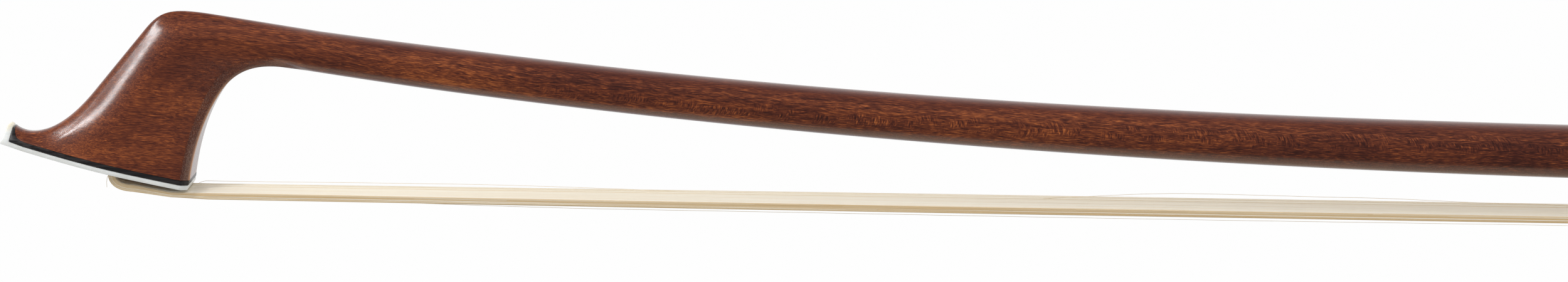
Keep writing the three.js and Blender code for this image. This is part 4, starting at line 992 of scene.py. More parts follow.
def freeFromKey(piece):
    # The key gives the stick its gloss and throws no shadow of it on the hair
    spared = bpy.data.collections.new("spared")
    spared.objects.link(piece)
    spared.collection_objects[0].light_linking.link_state = "EXCLUDE"
    keyLamp.light_linking.blocker_collection = spared


def buildStick():
    def onHead(low, high, shareAt):
        # A mark on the places of the head's section between two bounds, by how far down the head
        half = [float(low < place < high) for place in sectionPlaces]
        return [value * shareAt(share) for share in shares for value in half + half[::-1]]

    shares = np.linspace(1, 0, head["sections"] + 1)
    chamfer = onHead(*figure["chamferPlaces"], lambda share: rising(share, 0, head["flareStart"]))
    # Painted light: the rear corner toward the plate is marked to be painted pale, as if lit from
    # behind
    paintedBacklight = onHead(*figure["backlightPlaces"], lambda share: rising(share, *figure["backlightStart"]))
    rings = [headRing(share) for share in shares]
    for x in np.linspace(headJointX, handleStartX, stick["shaftRings"] + 1)[1:]:
        rings.append(stickRing(x, lambda angle: stickRadius(x)))
    octagonStart = -leatherStart - leather["length"]
    for place in np.linspace(octagonStart, 0, stick["handleRings"]):
        x = buttX + place * math.cos(handleTilt)
        rings.append(stickRing(x, lambda angle: handleRadius(angle, place)))
    plain = [0.0] * (len(rings) * len(rings[0]) - len(chamfer))
    piece = loft("bow_stick", rings, "wood", marks={"chamfer": chamfer + plain, "paintedBacklight": paintedBacklight + plain})
    carve(piece, [rodPiece("nipple", -1, stick["nippleLength"], stick["nippleDiameter"] / 2)], "UNION")
    eyelet = Vector((stick["eyeletPlace"] - ferruleFront, 0, 0))
    low, high = eyelet + Vector(stick["mortiseLow"]), eyelet + Vector(stick["mortiseHigh"])
    half, gap = mortise["headHalfWidth"], bow["workingGap"]
    carve(piece, [
        blockPiece("headMortise", (tipX + mortise["headFront"], -half, 0),
                   (tipX + mortise["headRear"], half, mortise["headRoof"])),
        blockPiece("stickMortise", low, high, handleMatrix),
        rodPiece("screwBore", -screw["threadEnd"] - gap, stick["nippleLength"] + 1,
                 screw["radius"] + gap),
        rodPiece("tipBore", -screw["tipEnd"] - gap, -screw["threadEnd"], screw["tipRadius"] + gap),
    ])
    layGrain(piece)
    shade(piece, 38)
    freeFromKey(piece)
    return finishPiece(piece, "stick", "stick")


buildStick()
print("stick and head built")


# Plate: a black lining and a white facing that turn up over the nose

plate = {
    "linerThickness": 0.72, "facingThickness": 0.72, "seam": 0.03, "stations": 60, "columns": 15,
    "linerToe": (0.0302, 0.299), "linerTop": (0.0405, 0.3725), "facingToe": (0.0, 0.285),
    "brow": (0.0215, 0.372), "crest": (0.0325, 0.389), "cap": (0.0405, 0.377), "crown": (-0.12, 0.16),
    "crestWidth": 2.0, "edge": 0.1, "facingEdge": 0.16, "noseShare": 0.93,
    "windowMargin": 0.2, "windowHeights": (-2.0, 12.0),  # the hair's opening at the head's mortise
}


def soleOffset(drop):
    path = pathThrough(soleRun)
    step = 0.001
    points = []
    for share in np.linspace(0, 1, plate["stations"]):
        ahead, behind = along(path, min(share + step, 1)), along(path, max(share - step, 0))
        run = (ahead - behind) / np.linalg.norm(ahead - behind)
        points.append(along(path, share) + np.array([-run[1], run[0]]) * drop)
    return points


def plateSide(x):
    share = np.clip((x - plateRearX + head["chamferPlate"]) / head["chamferPlate"], 0, 1)
    return between(plateHalfWidth(x - tipX), head["rearFlatPlate"] * head["plateWidth"] / 2, share)


def plateEdge(x, z):
    # Where it turns up over the nose the plate is trimmed in with the wood
    rise = (z - soleFront[1]) / ((plate["crest"][1] - head["soleFront"][1]) * head["height"])
    return between(plateSide(x), plate["crestWidth"] / 2, np.clip(rise, 0, 1))


def layer(name, node, upper, lower, slot, edge):
    # Bands between two side-view lines, carried from one side of the plate to the other
    rings = []
    for column in np.linspace(-1, 1, plate["columns"]):
        rings.append([(x, column * plateEdge(x, z), z) for x, z in upper + lower[::-1]])
    piece = loft(name, rings, slot)
    margin, (low, high) = plate["windowMargin"], plate["windowHeights"]
    half = mortise["headHalfWidth"] + margin
    carve(piece, [blockPiece("window", (tipX + mortise["headFront"] - margin, -half, low),
                             (tipX + mortise["headRear"], half, high))])
    cleanUp(piece, merge=0.004, flat=0.25)
    soften(piece, edge, angle=38)
    shade(piece, 40)
    return finishPiece(piece, "stick", node)


def stepsTo(first, last, count):
    return [between(first, last, share) for share in np.linspace(0, 1, count + 1)[1:]]


def buildPlate():
    names = ("linerToe", "linerTop", "facingToe", "brow", "crest", "cap")
    linerToe, linerTop, facingToe, brow, crest, cap = (headPoint(*plate[name]) for name in names)
    seam, nose = plate["seam"], pathThrough(noseRun)
    linerBottom = seam + plate["linerThickness"]
    upper, lower = soleOffset(seam), soleOffset(linerBottom)
    upper += [along(nose, share) - np.array([seam, 0])
              for share in np.linspace(0, plate["noseShare"], 11)[1:]]
    lower += stepsTo(lower[-1], linerToe, 2) + stepsTo(linerToe, linerTop, 8)
    layer("head_lining", "head_liner", upper, lower, "liner", plate["edge"])
    facingTop = linerBottom + seam
    upper, lower = soleOffset(facingTop), soleOffset(facingTop + plate["facingThickness"])
    innerToe = linerToe - seam
    upper += stepsTo(upper[-1], innerToe, 2) + stepsTo(innerToe, cap, 11)
    lower += stepsTo(lower[-1], facingToe, 2) + stepsTo(facingToe, brow, 6)
    lower += list(bend(brow, between(brow, crest, 0.5) + plate["crown"], crest, 6)[1:])
    layer("head_facing", "head_plate", upper, lower, "facing", plate["facingEdge"])


buildPlate()
print("plate built")


# Geometry Nodes helpers

def startTree(name, inputs):
    tree = bpy.data.node_groups.new(name, "GeometryNodeTree")
    sockets = [("Geometry", "Geometry", "INPUT"), *((*given, "INPUT") for given in inputs.items()),
               ("Geometry", "Geometry", "OUTPUT")]
    for label, kind, way in sockets:
        tree.interface.new_socket(label, in_out=way, socket_type="NodeSocket" + kind)
    return tree, addNode(tree, "NodeGroupInput").outputs


def endTree(tree, geometry, material):
    real = addNode(tree, "GeometryNodeRealizeInstances", {0: geometry})
    even = addNode(tree, "GeometryNodeSetShadeSmooth", {0: real.outputs[0]})
    dressed = addNode(tree, "GeometryNodeSetMaterial",
                      {"Geometry": even.outputs[0], "Material": material})
    addNode(tree, "NodeGroupOutput", {0: dressed.outputs[0]})
    return tree


def stored(tree, name, kind="FLOAT"):
    return addNode(tree, "GeometryNodeInputNamedAttribute", {"Name": name}, data_type=kind).outputs[0]


def storedOn(tree, geometry, name, value):
    values = {"Geometry": geometry, "Name": name, "Value": value}
    return addNode(tree, "GeometryNodeStoreNamedAttribute", values,
                   data_type="FLOAT", domain="POINT").outputs[0]


def runTree(piece, tree, slot, values):
    modifier = piece.modifiers.new(tree.name, "NODES")
    modifier.node_group = tree
    given = [item for item in tree.interface.items_tree if item.in_out == "INPUT"]
    sockets = {item.name: item.identifier for item in given}
    modifier[sockets["Material"]] = finishes[slot]
    for label, value in values.items():
        modifier[sockets[label]] = value
    settle(piece)


# Hair: every hair follows the hank's middle line at a place of its own

hair = {
    "clearance": 0.8, "turnThickness": 0.75, "mouthThickness": 1.2, "bendDrop": 2.2, "settle": 15.0,
    "headDrop": 0.22, "spread": 10.6, "spreadPlace": -214.0, "longSteps": 44,
    "headKnotWidth": 5.4, "frogMortiseWidth": 7.4,
    "plateThickness": 1.38, "slideThickness": 1.8, "ferruleWall": 0.5, "tongueThickness": 0.6,
    "tongueStart": 3.0, "slideStart": 10.9,  # in the frog, from the ferrule's front edge
    "coreInset": 0.01, "coreColumns": 14, "coreShadedSide": 0.45, "coreTone": 0.5, "bulge": 1.2,
    "strayRadius": 0.03, "straySteps": 20, "straySeed": 5,
}
strands = {
    "count": 250, "radius": 0.09, "wander": 0.5, "seed": 3, "sideFrom": 0.43, "faceShare": 0.445,
    "facePower": 0.2, "spacing": 0.6180339, "spacingChance": 0.02, "layerChance": 30.0,
    "sideCalm": 0.35, "lift": 0.3, "swayWaves": (16.0, 0.0, 0.0), "swayStep": 3.71,
    "edgeInset": 1.5, "palest": 0.7, "sideShadePower": 4.0, "facets": 4,
}
hairThickness = bow["hairThickness"]
hairLevel = hair["clearance"] + hairThickness / 2


def soleHeight(x):
    share = (x - plateRearX) / (soleFront[0] - plateRearX)
    points = bend(plateRear, headSpot("sole"), soleFront, 200)
    return float(np.interp(share, np.linspace(0, 1, 200), points[:, 1]))


def onFrog(place, height):
    spot = frogMatrix @ Vector((place, 0, height))
    return np.array([spot.x, spot.z])


def hankStops():
    # The hank's runs from its head knot to its frog knot: line, steps, width and thickness at the end
    gap, glue, drop = bow["workingGap"], bow["glueLine"], hair["bendDrop"]
    thick, mouthThick = hairThickness, hair["mouthThickness"]
    mouthX = tipX + mortise["headFront"] + gap + mouthThick / 2
    mouthZ = soleHeight(mouthX) - 2 * glue - hair["plateThickness"]
    start = np.array([mouthX, mortise["headRoof"] - 2 * gap - mortise["headKnot"]])
    mouth, low = np.array([mouthX, mouthZ]), np.array([mouthX + mouthThick + drop, mouthZ - drop])
    settled = np.array([mouthX + hair["settle"], hairLevel - hair["headDrop"]])
    pinch = np.array([(low[0] + settled[0]) / 2, settled[1] + gap / 2])
    inFrog = hair["slideThickness"] + glue + gap + thick / 2
    overTongue = hair["ferruleWall"] + 2 * gap + hair["tongueThickness"] + thick / 2
    turn = mortise["frogRear"] - gap - mouthThick / 2
    frogEnd = mortise["frogRoof"] - mortise["frogKnot"] - 2 * gap
    ferruleMouth, tongue = onFrog(0, hairLevel), onFrog(hair["tongueStart"], overTongue)
    slideStart, slideEnd = onFrog(hair["slideStart"], inFrog), onFrog(turn - drop, inFrog)
    risen = onFrog(turn, inFrog + drop)
    share = (hair["spreadPlace"] - settled[0]) / (ferruleMouth[0] - settled[0])
    spread = between(settled, ferruleMouth, share)
    atHead, atFrog = bow["hairWidthAtHead"], bow["hairWidthAtFrog"]
    narrow, inMortise = hair["headKnotWidth"], hair["frogMortiseWidth"]
    return start, [
        ([start, mouth], 3, narrow, mouthThick),
        (bend(mouth, (mouthX, low[1]), low), 10, (narrow + atHead) / 2, mouthThick),
        ([low, pinch], 5, atHead, hair["turnThickness"]),
        ([pinch, settled], 5, atHead, thick),
        ([settled, spread], hair["longSteps"] // 3, hair["spread"], thick),
        ([spread, ferruleMouth], hair["longSteps"] * 2 // 3, atFrog, thick),
        ([ferruleMouth, tongue], 2, atFrog, thick),
        ([tongue, slideStart], 3, inMortise, thick),
        ([slideStart, slideEnd], 4, inMortise, thick),
        (bend(slideEnd, onFrog(turn, inFrog), risen), 7, inMortise, mouthThick),
        ([risen, onFrog(turn, frogEnd)], 3, inMortise, mouthThick),
    ]


def hankGuide():
    # The middle line with its width and thickness
    start, stops = hankStops()
    line, widths, depths = [start], [hair["headKnotWidth"]], [hair["mouthThickness"]]
    for run, count, width, depth in stops:
        path, width0, depth0 = pathThrough(run), widths[-1], depths[-1]
        for share in np.linspace(0, 1, count + 1)[1:]:
            line.append(along(path, share))
            widths.append(between(width0, width, share))
            depths.append(between(depth0, depth, share))
    return np.array(line), np.array(widths), np.array(depths)


def headings(line):
    run = np.gradient(line, axis=0)
    return run / np.linalg.norm(run, axis=1)[:, None]


def guidePiece(name, lines):
    # Open lines of edges that carry what the hair's nodes read
    points, edges, widths, depths, rises = [], [], [], [], []
    for line, side, width, depth in lines:
        first = len(points)
        edges += [(first + i, first + i + 1) for i in range(len(line) - 1)]
        points += [Vector((x, y, z)) * mm for (x, z), y in zip(line, side)]
        widths += list(np.array(width) * mm)
        depths += list(np.array(depth) * mm)
        rises += [value for ahead, up in headings(line) for value in (-up, 0.0, ahead)]
    mesh = bpy.data.meshes.new(name)
    mesh.from_pydata(points, edges, [])
    mark(mesh, "hankWidth", widths)
    mark(mesh, "hankDepth", depths)
    mark(mesh, "hankRise", rises, "FLOAT_VECTOR")
    return addPiece(name, mesh)


def hairTree():
    tree, given = startTree("hairs", {
        "Strands": "Int", "Strand Radius": "Float", "Wander": "Float", "Seed": "Int",
        "Material": "Material"})

    def chance(low, high, offset):
        values = {2: low, 3: high, "ID": index, "Seed": plus(given["Seed"], float(offset))}
        return addNode(tree, "FunctionNodeRandomValue", values, data_type="FLOAT").outputs[1]

    curve = addNode(tree, "GeometryNodeMeshToCurve", {"Mesh": given["Geometry"]})
    many = addNode(tree, "GeometryNodeDuplicateElements",
                   {"Geometry": curve.outputs[0], "Amount": given["Strands"]}, domain="SPLINE")
    index = many.outputs[1]
    # Even cover across the hank, in loose layers from its lower to its upper face
    across = maths("FRACT", times(index, strands["spacing"]))
    across = minus(plus(across, chance(-strands["spacingChance"], strands["spacingChance"], 1)), 0.5)
    level = plus(index, chance(-strands["layerChance"], strands["layerChance"], 3))
    level = addNode(tree, "ShaderNodeClamp", {0: maths("DIVIDE", level, given["Strands"])})
    depth = minus(level.outputs[0], 0.5)
    # Over the hank's body most hairs lie near its two faces, the outermost ones down its sides
    atSide = ranged(maths("ABSOLUTE", across), strands["sideFrom"], strands["sideFrom"] + 0.001)
    outer = maths("POWER", times(maths("ABSOLUTE", depth), 2.0),
                  mixedValue(atSide, strands["facePower"], 1.0))
    depth = times(maths("SIGN", depth), times(outer, strands["faceShare"]))
    across = ranged(across, -strands["sideFrom"], strands["sideFrom"], -0.5, 0.5)
    crown = maths("SQRT", minus(1.0, times(hair["bulge"], maths("POWER", across, 2.0))))
    # A slow sway of its own along every hair
    place = addNode(tree, "GeometryNodeInputPosition").outputs[0]
    slow = addNode(tree, "ShaderNodeTexNoise", {
        "Vector": stretched(place, strands["swayWaves"]), "W": times(index, strands["swayStep"]),
        "Scale": 1.0, "Detail": 1.0,
    }, noise_dimensions="4D")
    sway = split(vectorMaths("SUBTRACT", slow.outputs["Color"], (0.5, 0.5, 0.5)))
    reach = minus(stored(tree, "hankWidth"), times(given["Strand Radius"], strands["edgeInset"]))
    wander = times(given["Wander"], mixedValue(atSide, 1.0, strands["sideCalm"]))
    wide = plus(times(across, reach), times(sway[0], wander))
    high = plus(times(times(depth, crown), stored(tree, "hankDepth")),
                times(sway[1], times(given["Wander"], strands["lift"])))
    rise = stored(tree, "hankRise", "FLOAT_VECTOR")
    lift = addNode(tree, "ShaderNodeVectorMath", {0: rise, "Scale": high}, operation="SCALE").outputs[0]
    moved = addNode(tree, "GeometryNodeSetPosition", {
        "Geometry": many.outputs[0], "Offset": vectorMaths("ADD", combined({1: wide}), lift)})
    # Painted shade: the hairs down the sides get golden, darker tones, as if the hank's sides lay in
    # shade, but for a few pale hairs
    own = chance(0.0, 1.0, 2)
    tone = mixedValue(atSide, plus(1 - strands["palest"], times(own, strands["palest"])),
                      maths("POWER", own, strands["sideShadePower"]))
    toned = storedOn(tree, moved.outputs[0], "tone", tone)
    ring = addNode(tree, "GeometryNodeCurvePrimitiveCircle",
                   {"Resolution": strands["facets"], "Radius": given["Strand Radius"]})
    body = addNode(tree, "GeometryNodeCurveToMesh",
                   {"Curve": toned, "Profile Curve": ring.outputs[0], "Fill Caps": True})
    return endTree(tree, body.outputs[0], given["Material"])


def joinFrog(piece):
    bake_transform(piece)


def growHair(name, lines, count, seed, wander, radius):
    piece = guidePiece(name, lines)
    runTree(piece, hairs, "hair", {
        "Strands": count, "Strand Radius": radius * mm, "Wander": wander * mm, "Seed": seed})
    joinFrog(piece)
    return piece


def strayLine(*stops):
    # A loose hair through (x, y, z) stops, eased between them
    stops = np.array(stops)
    gaps = len(stops) - 1
    reach = np.linspace(0, gaps, hair["straySteps"] * gaps)
    index = np.minimum(reach.astype(int), gaps - 1)
    share = smooth(reach - index)[:, None]
    x = np.interp(reach, np.arange(gaps + 1), stops[:, 0])
    rest = stops[index, 1:] * (1 - share) + stops[index + 1, 1:] * share
    return np.stack([x, rest[:, 1]], axis=1), rest[:, 0], np.zeros(len(x)), np.zeros(len(x))


def hairCore():
    # The body of the hank just under its outer hairs
    shares = np.linspace(-0.5, 0.5, hair["coreColumns"])
    crowns = [math.sqrt(1 - hair["bulge"] * share ** 2) for share in shares]
    # Painted shade: the core's sides take the golden tone of shade, its faces a paler one
    shadedTones = [0.0 if abs(share) > hair["coreShadedSide"] else hair["coreTone"]
             for share in [*shares, *shares[::-1]]]
    rings = []
    for (x, z), (ahead, up), width, depth in zip(hankLine, headings(hankLine), hankWidths, hankDepths):
        half = [(share * (width - 2 * hair["coreInset"]), depth / 2 * crown - hair["coreInset"])
                for share, crown in zip(shares, crowns)]
        rings.append([(x - up * rise, side, z + ahead * rise) for side, rise in half]
                     + [(x + up * rise, side, z - ahead * rise) for side, rise in half[::-1]])
    piece = loft("hair_core", rings, "hair", marks={"tone": shadedTones * len(rings)})
    shade(piece, 60)
    joinFrog(piece)


hairs = hairTree()
hankLine, hankWidths, hankDepths = hankGuide()
hairCore()
hank = growHair("hair_hank", [(hankLine, np.zeros(len(hankLine)), hankWidths, hankDepths)],
                strands["count"], strands["seed"], strands["wander"], strands["radius"])
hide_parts("hair")
growHair("hair_strays", [
    strayLine((-322, -3.9, 0.95), (-262, -4.3, 0.24), (-180, -4.9, 0.22), (-110, -5.4, 0.4),
              (20, -5.5, 0.85), (286, -5.6, 1.3)),
    strayLine((-329.6, 3.0, 1.0), (-326.4, 3.1, 2.15), (-288, 3.6, 2.2), (-240, 3.9, 1.5),
              (60, 4.8, 1.4)),
    strayLine((-340.75, -1.4, 3.5), (-340.95, -1.5, 2.6), (-340.85, -1.6, 1.8)),
    strayLine((-206, 2.5, 1.5), (-176, 3.0, 2.75), (-150, 3.2, 2.5), (-126, 3.5, 1.9),
              (-100, 3.6, 1.4)),
    strayLine((120, 5.2, 1.5), (180, 5.6, 2.3), (240, 5.7, 2.1), (284, 5.6, 1.5)),
], 1, hair["straySeed"], 0.0, hair["strayRadius"])
print("hair grown:", len(hank.data.polygons), "faces")


# Handle: leather where the thumb rests and two flat strands wound beside each other

def sleeveRing(place, margin, seam=0.0):
    x = buttX + place * math.cos(handleTilt)
    ring = []
    for i in range(leather["points"]):
        angle = 2 * math.pi * i / leather["points"]
        past = (angle - leather["seamAngle"]) % (2 * math.pi)
        lap = seam * leather["seamStep"] * max(0.0, 1 - past / leather["seamSpread"])
        ring.append(besideAxis(x, angle, handleRadius(angle, place) + margin + lap))
    return ring


def wrapLeather():
    start, end = -leatherStart - leather["length"], -leatherStart
    outer, inner = [], []
    for place in np.linspace(start, end, leather["rings"]):
        edge = min(place - start, end - place)
        share = math.sin(math.pi / 2 * min(edge / leather["edgeLength"], 1))
        depth = between(leather["edgeThickness"], leather["thickness"], share)
        outer.append(sleeveRing(place, depth, between(leather["seamAtEdge"], 1, share)))
        inner.append(sleeveRing(place, leather["underside"]))
    piece = loft("thumb_grip", outer + inner[::-1], "leather", around=True)
    shade(piece, 60)
    return finishPiece(piece, "stick", "thumb_leather")


def windingTree():
    tree, given = startTree("winding", {
        "Turns": "Float", "Pitch": "Float", "Radius": "Float", "Width": "Float", "Thickness": "Float",
        "Rounding": "Float", "Steps": "Int", "Material": "Material"})
    coil = addNode(tree, "GeometryNodeCurveSpiral", {
        "Resolution": given["Steps"], "Rotations": given["Turns"], "Start Radius": given["Radius"],
        "End Radius": given["Radius"], "Height": times(given["Turns"], given["Pitch"])})
    upright = addNode(tree, "GeometryNodeSetCurveNormal", {"Curve": coil.outputs[0]})
    upright.mode = "Z_UP"
    length = addNode(tree, "GeometryNodeSplineParameter").outputs["Length"]
    marked = storedOn(tree, upright.outputs[0], "runLength", length)
    section = addNode(tree, "GeometryNodeCurvePrimitiveQuadrilateral",
                      {"Width": given["Thickness"], "Height": given["Width"]})
    values = {"Curve": section.outputs[0], "Radius": given["Rounding"], "Count": 2}
    rounded = addNode(tree, "GeometryNodeFilletCurve", values, mode="POLY")
    place = addNode(tree, "GeometryNodeInputPosition").outputs[0]
    edged = storedOn(tree, rounded.outputs[0], "runAcross", split(place)[1])
    body = addNode(tree, "GeometryNodeCurveToMesh",
                   {"Curve": marked, "Profile Curve": edged, "Fill Caps": True})
    laid = addNode(tree, "GeometryNodeTransform",
                   {"Geometry": body.outputs[0], "Rotation": (0.0, math.pi / 2, 0.0)})
    return endTree(tree, laid.outputs[0], given["Material"])


def wind(name, slot, start, matrix, steps, turns, **sizes):
    piece = addPiece(name, bpy.data.meshes.new(name))
    values = {label.capitalize(): size * mm for label, size in sizes.items()}
    runTree(piece, windings, slot, values | {"Turns": turns, "Steps": steps})
    place = matrix @ Matrix.Translation((start, 0, 0))
    place.translation *= mm
    piece.data.transform(place)
    return piece


windings = windingTree()
wrapLeather()
for tone, shift in (("pale", 0.0), ("dark", lapping["pitch"] / 2)):
    strand = wind("lapping_strand_" + tone, "lapping_" + tone,
                  -lappingStart - lappingLength + strandWidth / 2 + shift, handleMatrix,
                  radius=(stick["handleDiameter"] + lapping["thickness"]) / 2, **lapping)
    finishPiece(strand, "stick", "lapping_" + tone)
print("leather and lapping wound")


# Frog: ebony, silver and pearl, in the frog's own places from the ferrule's front edge

ferrule = {
    "length": 10.6, "width": 14.2, "height": 9.8, "shoulder": 3.4, "wall": 0.5, "arc": 56,
    "edge": 0.12,
}
eye = {
    "place": 31.0, "height": 10.4, "radius": 3.9, "ringWidth": 0.9, "depth": 0.9, "proud": 0.1,
    "dome": 0.05, "shellGap": 0.03, "facets": 64,
    # Roundings by their rise past the ring's height and their distance in from its edge
    "innerEdge": [(-0.08, 0), (0, 0.1), (0.02, 0.3)], "outerEdge": [(0.02, 0.3), (0, 0.1), (-0.1, 0)],
}
softened = [  # piece, node, finish and the width of its rounded edges
    ("frog_ebony", "frog_body", "ebony", 0.22), ("heel_silver", "heel_plate", "silver", 0.12),
    ("slide_pearl", "pearl_slide", "pearl", 0.07), ("slide_back", "slide_backing", "ebony", 0.05),
    ("channel_lining", "underslide", "silver", 0.06),
]
pins = {
    "radius": 0.42, "rise": 0.07,
    "heads": [((44.2, -3.6, 0.0), (0, 0, -1)), ((44.2, 3.6, 0.0), (0, 0, -1)),
              ((48.0, 0.0, 0.0), (0, 0, -1)), ((50.0, -3.4, 7.6), (1, 0, 0)),
              ((50.0, 3.4, 7.6), (1, 0, 0))],  # each pin's place and the way it faces
}


def refine(name, node, slot, softness):
    # A finer piece from a measured solid: merged, its flat faces whole and its edges rounded
    piece = addPiece(name, cadNodes[node].data.copy())
    coat(piece, slot)
    cleanUp(piece, merge=0.002, flat=0.3)
    soften(piece, softness)
    shade(piece)
    finishPiece(piece, "frog", node)


def ferruleRing(x, inset):
    half, top = ferrule["width"] / 2 - inset, ferrule["height"] - inset - ferrule["shoulder"]
    outline = [(share * half, inset) for share in np.linspace(-1, 1, 9)]
    outline += [(half * math.cos(angle), ferrule["shoulder"] + top * math.sin(angle))
                for angle in np.linspace(0, math.pi, ferrule["arc"])]
    return [frogMatrix @ Vector((x, y, z)) for y, z in outline]


def buildFerrule():
    places = [0, ferrule["length"] / 2, ferrule["length"]]
    outer = [ferruleRing(x, 0) for x in places]
    inner = [ferruleRing(x, ferrule["wall"]) for x in places]
    piece = loft("ferrule_band", outer + inner[::-1], "silver", around=True)
    soften(piece, ferrule["edge"], angle=40)
    shade(piece, 40)
    finishPiece(piece, "frog", "ferrule")


def eyeMatrix(side):
    rise = frog["highHeight"] - frog["lowHeight"]
    lean = math.atan((frog["lowWidth"] - frog["highWidth"]) / 2 / rise)
    share = (eye["height"] - frog["lowHeight"]) / rise
    half = between(frog["lowWidth"], frog["highWidth"], share) / 2
    normal = Vector((0, side * math.cos(lean), math.sin(lean)))
    turn = Vector((1, 0, 0)).rotation_difference(normal).to_matrix().to_4x4()
    return frogMatrix @ Matrix.Translation((eye["place"], side * half, eye["height"])) @ turn


def turnedPart(name, node, body, profile, facets, matrix, slot, angle=35.0):
    piece = turned(name, profile, facets, matrix, slot)
    shade(piece, angle)
    finishPiece(piece, body, *([node] if node else []))


def buildEye(side, sideName):
    outer, inner = eye["radius"], eye["radius"] - eye["ringWidth"]
    foot, top = -eye["depth"], eye["proud"]
    turnedPart("eye_band_" + sideName, "eye_ring_" + sideName, "frog", [
        (foot, inner), *((top + rise, inner + inset) for rise, inset in eye["innerEdge"]),
        *((top + rise, outer - inset) for rise, inset in eye["outerEdge"]), (foot, outer),
        (foot, inner),
    ], eye["facets"], eyeMatrix(side), "silver", 50)
    edge, dome = inner - eye["shellGap"], eye["dome"]
    turnedPart("eye_shell_" + sideName, "eye_pearl_" + sideName, "frog", [
        (foot, 0), (foot, edge), (0, edge), (dome * 0.5, edge - 0.12), (dome, edge * 0.6),
        (dome * 1.1, 0),
    ], eye["facets"], eyeMatrix(side), "pearl", 50)


def pinTree():
    tree, given = startTree("pins", {"Radius": "Float", "Rise": "Float", "Material": "Material"})
    dome = addNode(tree, "GeometryNodeMeshUVSphere",
                   {"Segments": 20, "Rings": 10, "Radius": given["Radius"]})
    flat = combined({0: 1.0, 1: 1.0, 2: maths("DIVIDE", given["Rise"], given["Radius"])})
    low = addNode(tree, "GeometryNodeTransform", {"Geometry": dome.outputs[0], "Scale": flat})
    way = stored(tree, "way", "FLOAT_VECTOR")
    turn = addNode(tree, "FunctionNodeAlignRotationToVector", {"Vector": way}, axis="Z")
    placed = addNode(tree, "GeometryNodeInstanceOnPoints", {
        "Points": given["Geometry"], "Instance": low.outputs[0], "Rotation": turn.outputs[0]})
    return endTree(tree, placed.outputs[0], given["Material"])


def setPins():
    mesh = bpy.data.meshes.new("heel_pins")
    mesh.from_pydata([frogMatrix @ Vector(place) * mm for place, way in pins["heads"]], [], [])
    turn = frogMatrix.to_3x3()
    mark(mesh, "way", [value for place, way in pins["heads"] for value in turn @ Vector(way)],
         "FLOAT_VECTOR")
    piece = addPiece("heel_pins", mesh)
    runTree(piece, pinTree(), "silver", {"Radius": pins["radius"] * mm, "Rise": pins["rise"] * mm})
    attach(piece, "frog")


for name, node, slot, softness in softened:
    refine(name, node, slot, softness)
buildFerrule()
buildEye(1, "far")
buildEye(-1, "near")
setPins()
for node, slot in {"head_wedge": "plug", "spread_wedge": "plug", "frog_wedge": "plug",
                   "eyelet": "brass"}.items():
    cadNodes[node].data.materials.clear()
    cadNodes[node].data.materials.append(finishes[slot])
print("frog dressed")


# Bound ends of the hair, inside the two mortises

knots = {
    "threadRadius": 0.16, "pitch": 0.36, "rounding": 0.9, "steps": 20, "bound": 0.62, "facets": 40,
    "waist": 0.9, "shoulder": 0.35,
}


def bindKnot(name, node, body, where, matrix):
    sizes = (mortise[where + part] for part in ("Front", "Rear", "Roof", "Knot"))
    front, rear, roof, diameter = sizes
    length, thread = rear - front - 2 * bow["workingGap"], knots["threadRadius"]
    reach, radius, bound = length / 2, diameter / 2 - 2 * thread, length * knots["bound"]
    centre = ((front + rear) / 2, 0, roof - bow["workingGap"] - diameter / 2)
    place = matrix @ Matrix.Translation(centre)
    turnedPart(name + "_core", None, body, [
        (-reach, 0), (-reach, radius * knots["waist"]), (-reach * knots["shoulder"], radius),
        (reach * knots["shoulder"], radius), (reach, radius * knots["waist"]), (reach, 0),
    ], knots["facets"], place, "hair")
    winding = wind(name + "_thread", "thread", -bound / 2, place, knots["steps"],
                   bound / knots["pitch"], pitch=knots["pitch"], radius=radius + thread,
                   width=thread * 2, thickness=thread * 2, rounding=thread * knots["rounding"])
    finishPiece(winding, body, node)


bindKnot("head_hair_knot", "head_knot", "stick", "head", Matrix.Translation((tipX, 0, 0)))
bindKnot("frog_hair_knot", "frog_knot", "frog", "frog", frogMatrix)
print("hair ends bound")


# Screw and button, from the butt of the stick

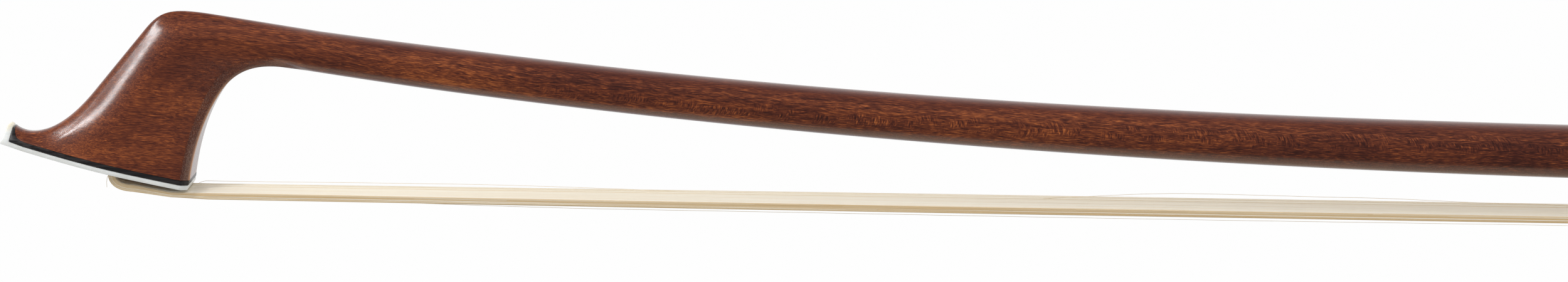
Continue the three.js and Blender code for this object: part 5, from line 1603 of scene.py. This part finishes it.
def buildScrew():
    tip, thread, shank = -screw["tipEnd"], -screw["threadEnd"], -screw["shankStart"]
    radius, root, tang = screw["radius"], screw["root"], screw["tangRadius"]
    turnedPart("screw_rod", "screw", "screw", [
        (tip, 0), (tip, screw["pointRadius"]), (tip + screw["pointLength"], screw["tipRadius"]),
        (thread, screw["tipRadius"]), (thread + screw["slope"], root), (shank - screw["slope"], root),
        (shank, radius), (stick["nippleLength"], radius), (stick["nippleLength"], tang),
        (screw["tangEnd"], tang), (screw["tangEnd"], 0),
    ], screw["facets"], handleMatrix, "steel", 30)
    start, end, crest = thread + screw["threadInset"], shank - screw["threadInset"], radius - root
    turns = (end - start) / screw["pitch"]
    ridge = wind("screw_thread", "steel", start, handleMatrix, screw["steps"], turns,
                 pitch=screw["pitch"], radius=root + crest / 2 - screw["sunk"],
                 width=crest * screw["crestWidth"], thickness=crest,
                 rounding=crest * screw["crestRounding"])
    finishPiece(ridge, "screw")


def buildButton():
    def outlined(name, radius):
        return [(place, radius - drop) for place, drop in button[name]]

    def hollow(outline, inner):
        # Back along the bore to where the outline starts
        return [(outline[0][0], inner), *outline, (outline[-1][0], inner), (outline[0][0], inner)]

    spigot, pearl = button["spigotDiameter"] / 2, button["pearlDiameter"] / 2
    bore, floor, end = spigot + button["boreGap"], button["capFloor"], button["length"]
    turnedPart("button_ring", "button_front_ring", "screw",
               hollow(outlined("ringOutline", button["diameter"] / 2), bore), button["facets"],
               handleMatrix, "silver", 50)
    facetRadius = button["coreWidth"] / 2 / math.cos(math.pi / 8)
    core = turned("button_ebony", hollow(outlined("coreOutline", facetRadius), spigot), 8,
                  handleMatrix, "ebony", phase=math.pi / 8)
    soften(core, button["coreEdge"], angle=20)
    shade(core, 25)
    finishPiece(core, "screw", "button_core")
    seat = end - button["pearlThickness"] - button["seatGap"]
    turnedPart("button_cap", "button_rear_cap", "screw", [
        (floor, 0), (floor, bore), (button["capOutline"][0][0], bore),
        *outlined("capOutline", button["capDiameter"] / 2),
        (end, pearl + 0.14), (end - 0.1, pearl + 0.05), (seat, pearl + 0.04), (seat, 0),
    ], button["facets"], handleMatrix, "silver", 45)
    turnedPart("button_eye", "button_pearl", "screw", [
        (seat + 0.02, 0), (seat + 0.02, pearl), (end - 0.2, pearl), (end - 0.12, pearl - 0.12),
        (end - 0.08, pearl * 0.6), (end - 0.07, 0),
    ], button["facets"], handleMatrix, "pearl", 45)


buildScrew()
buildButton()
print("screw and button turned")
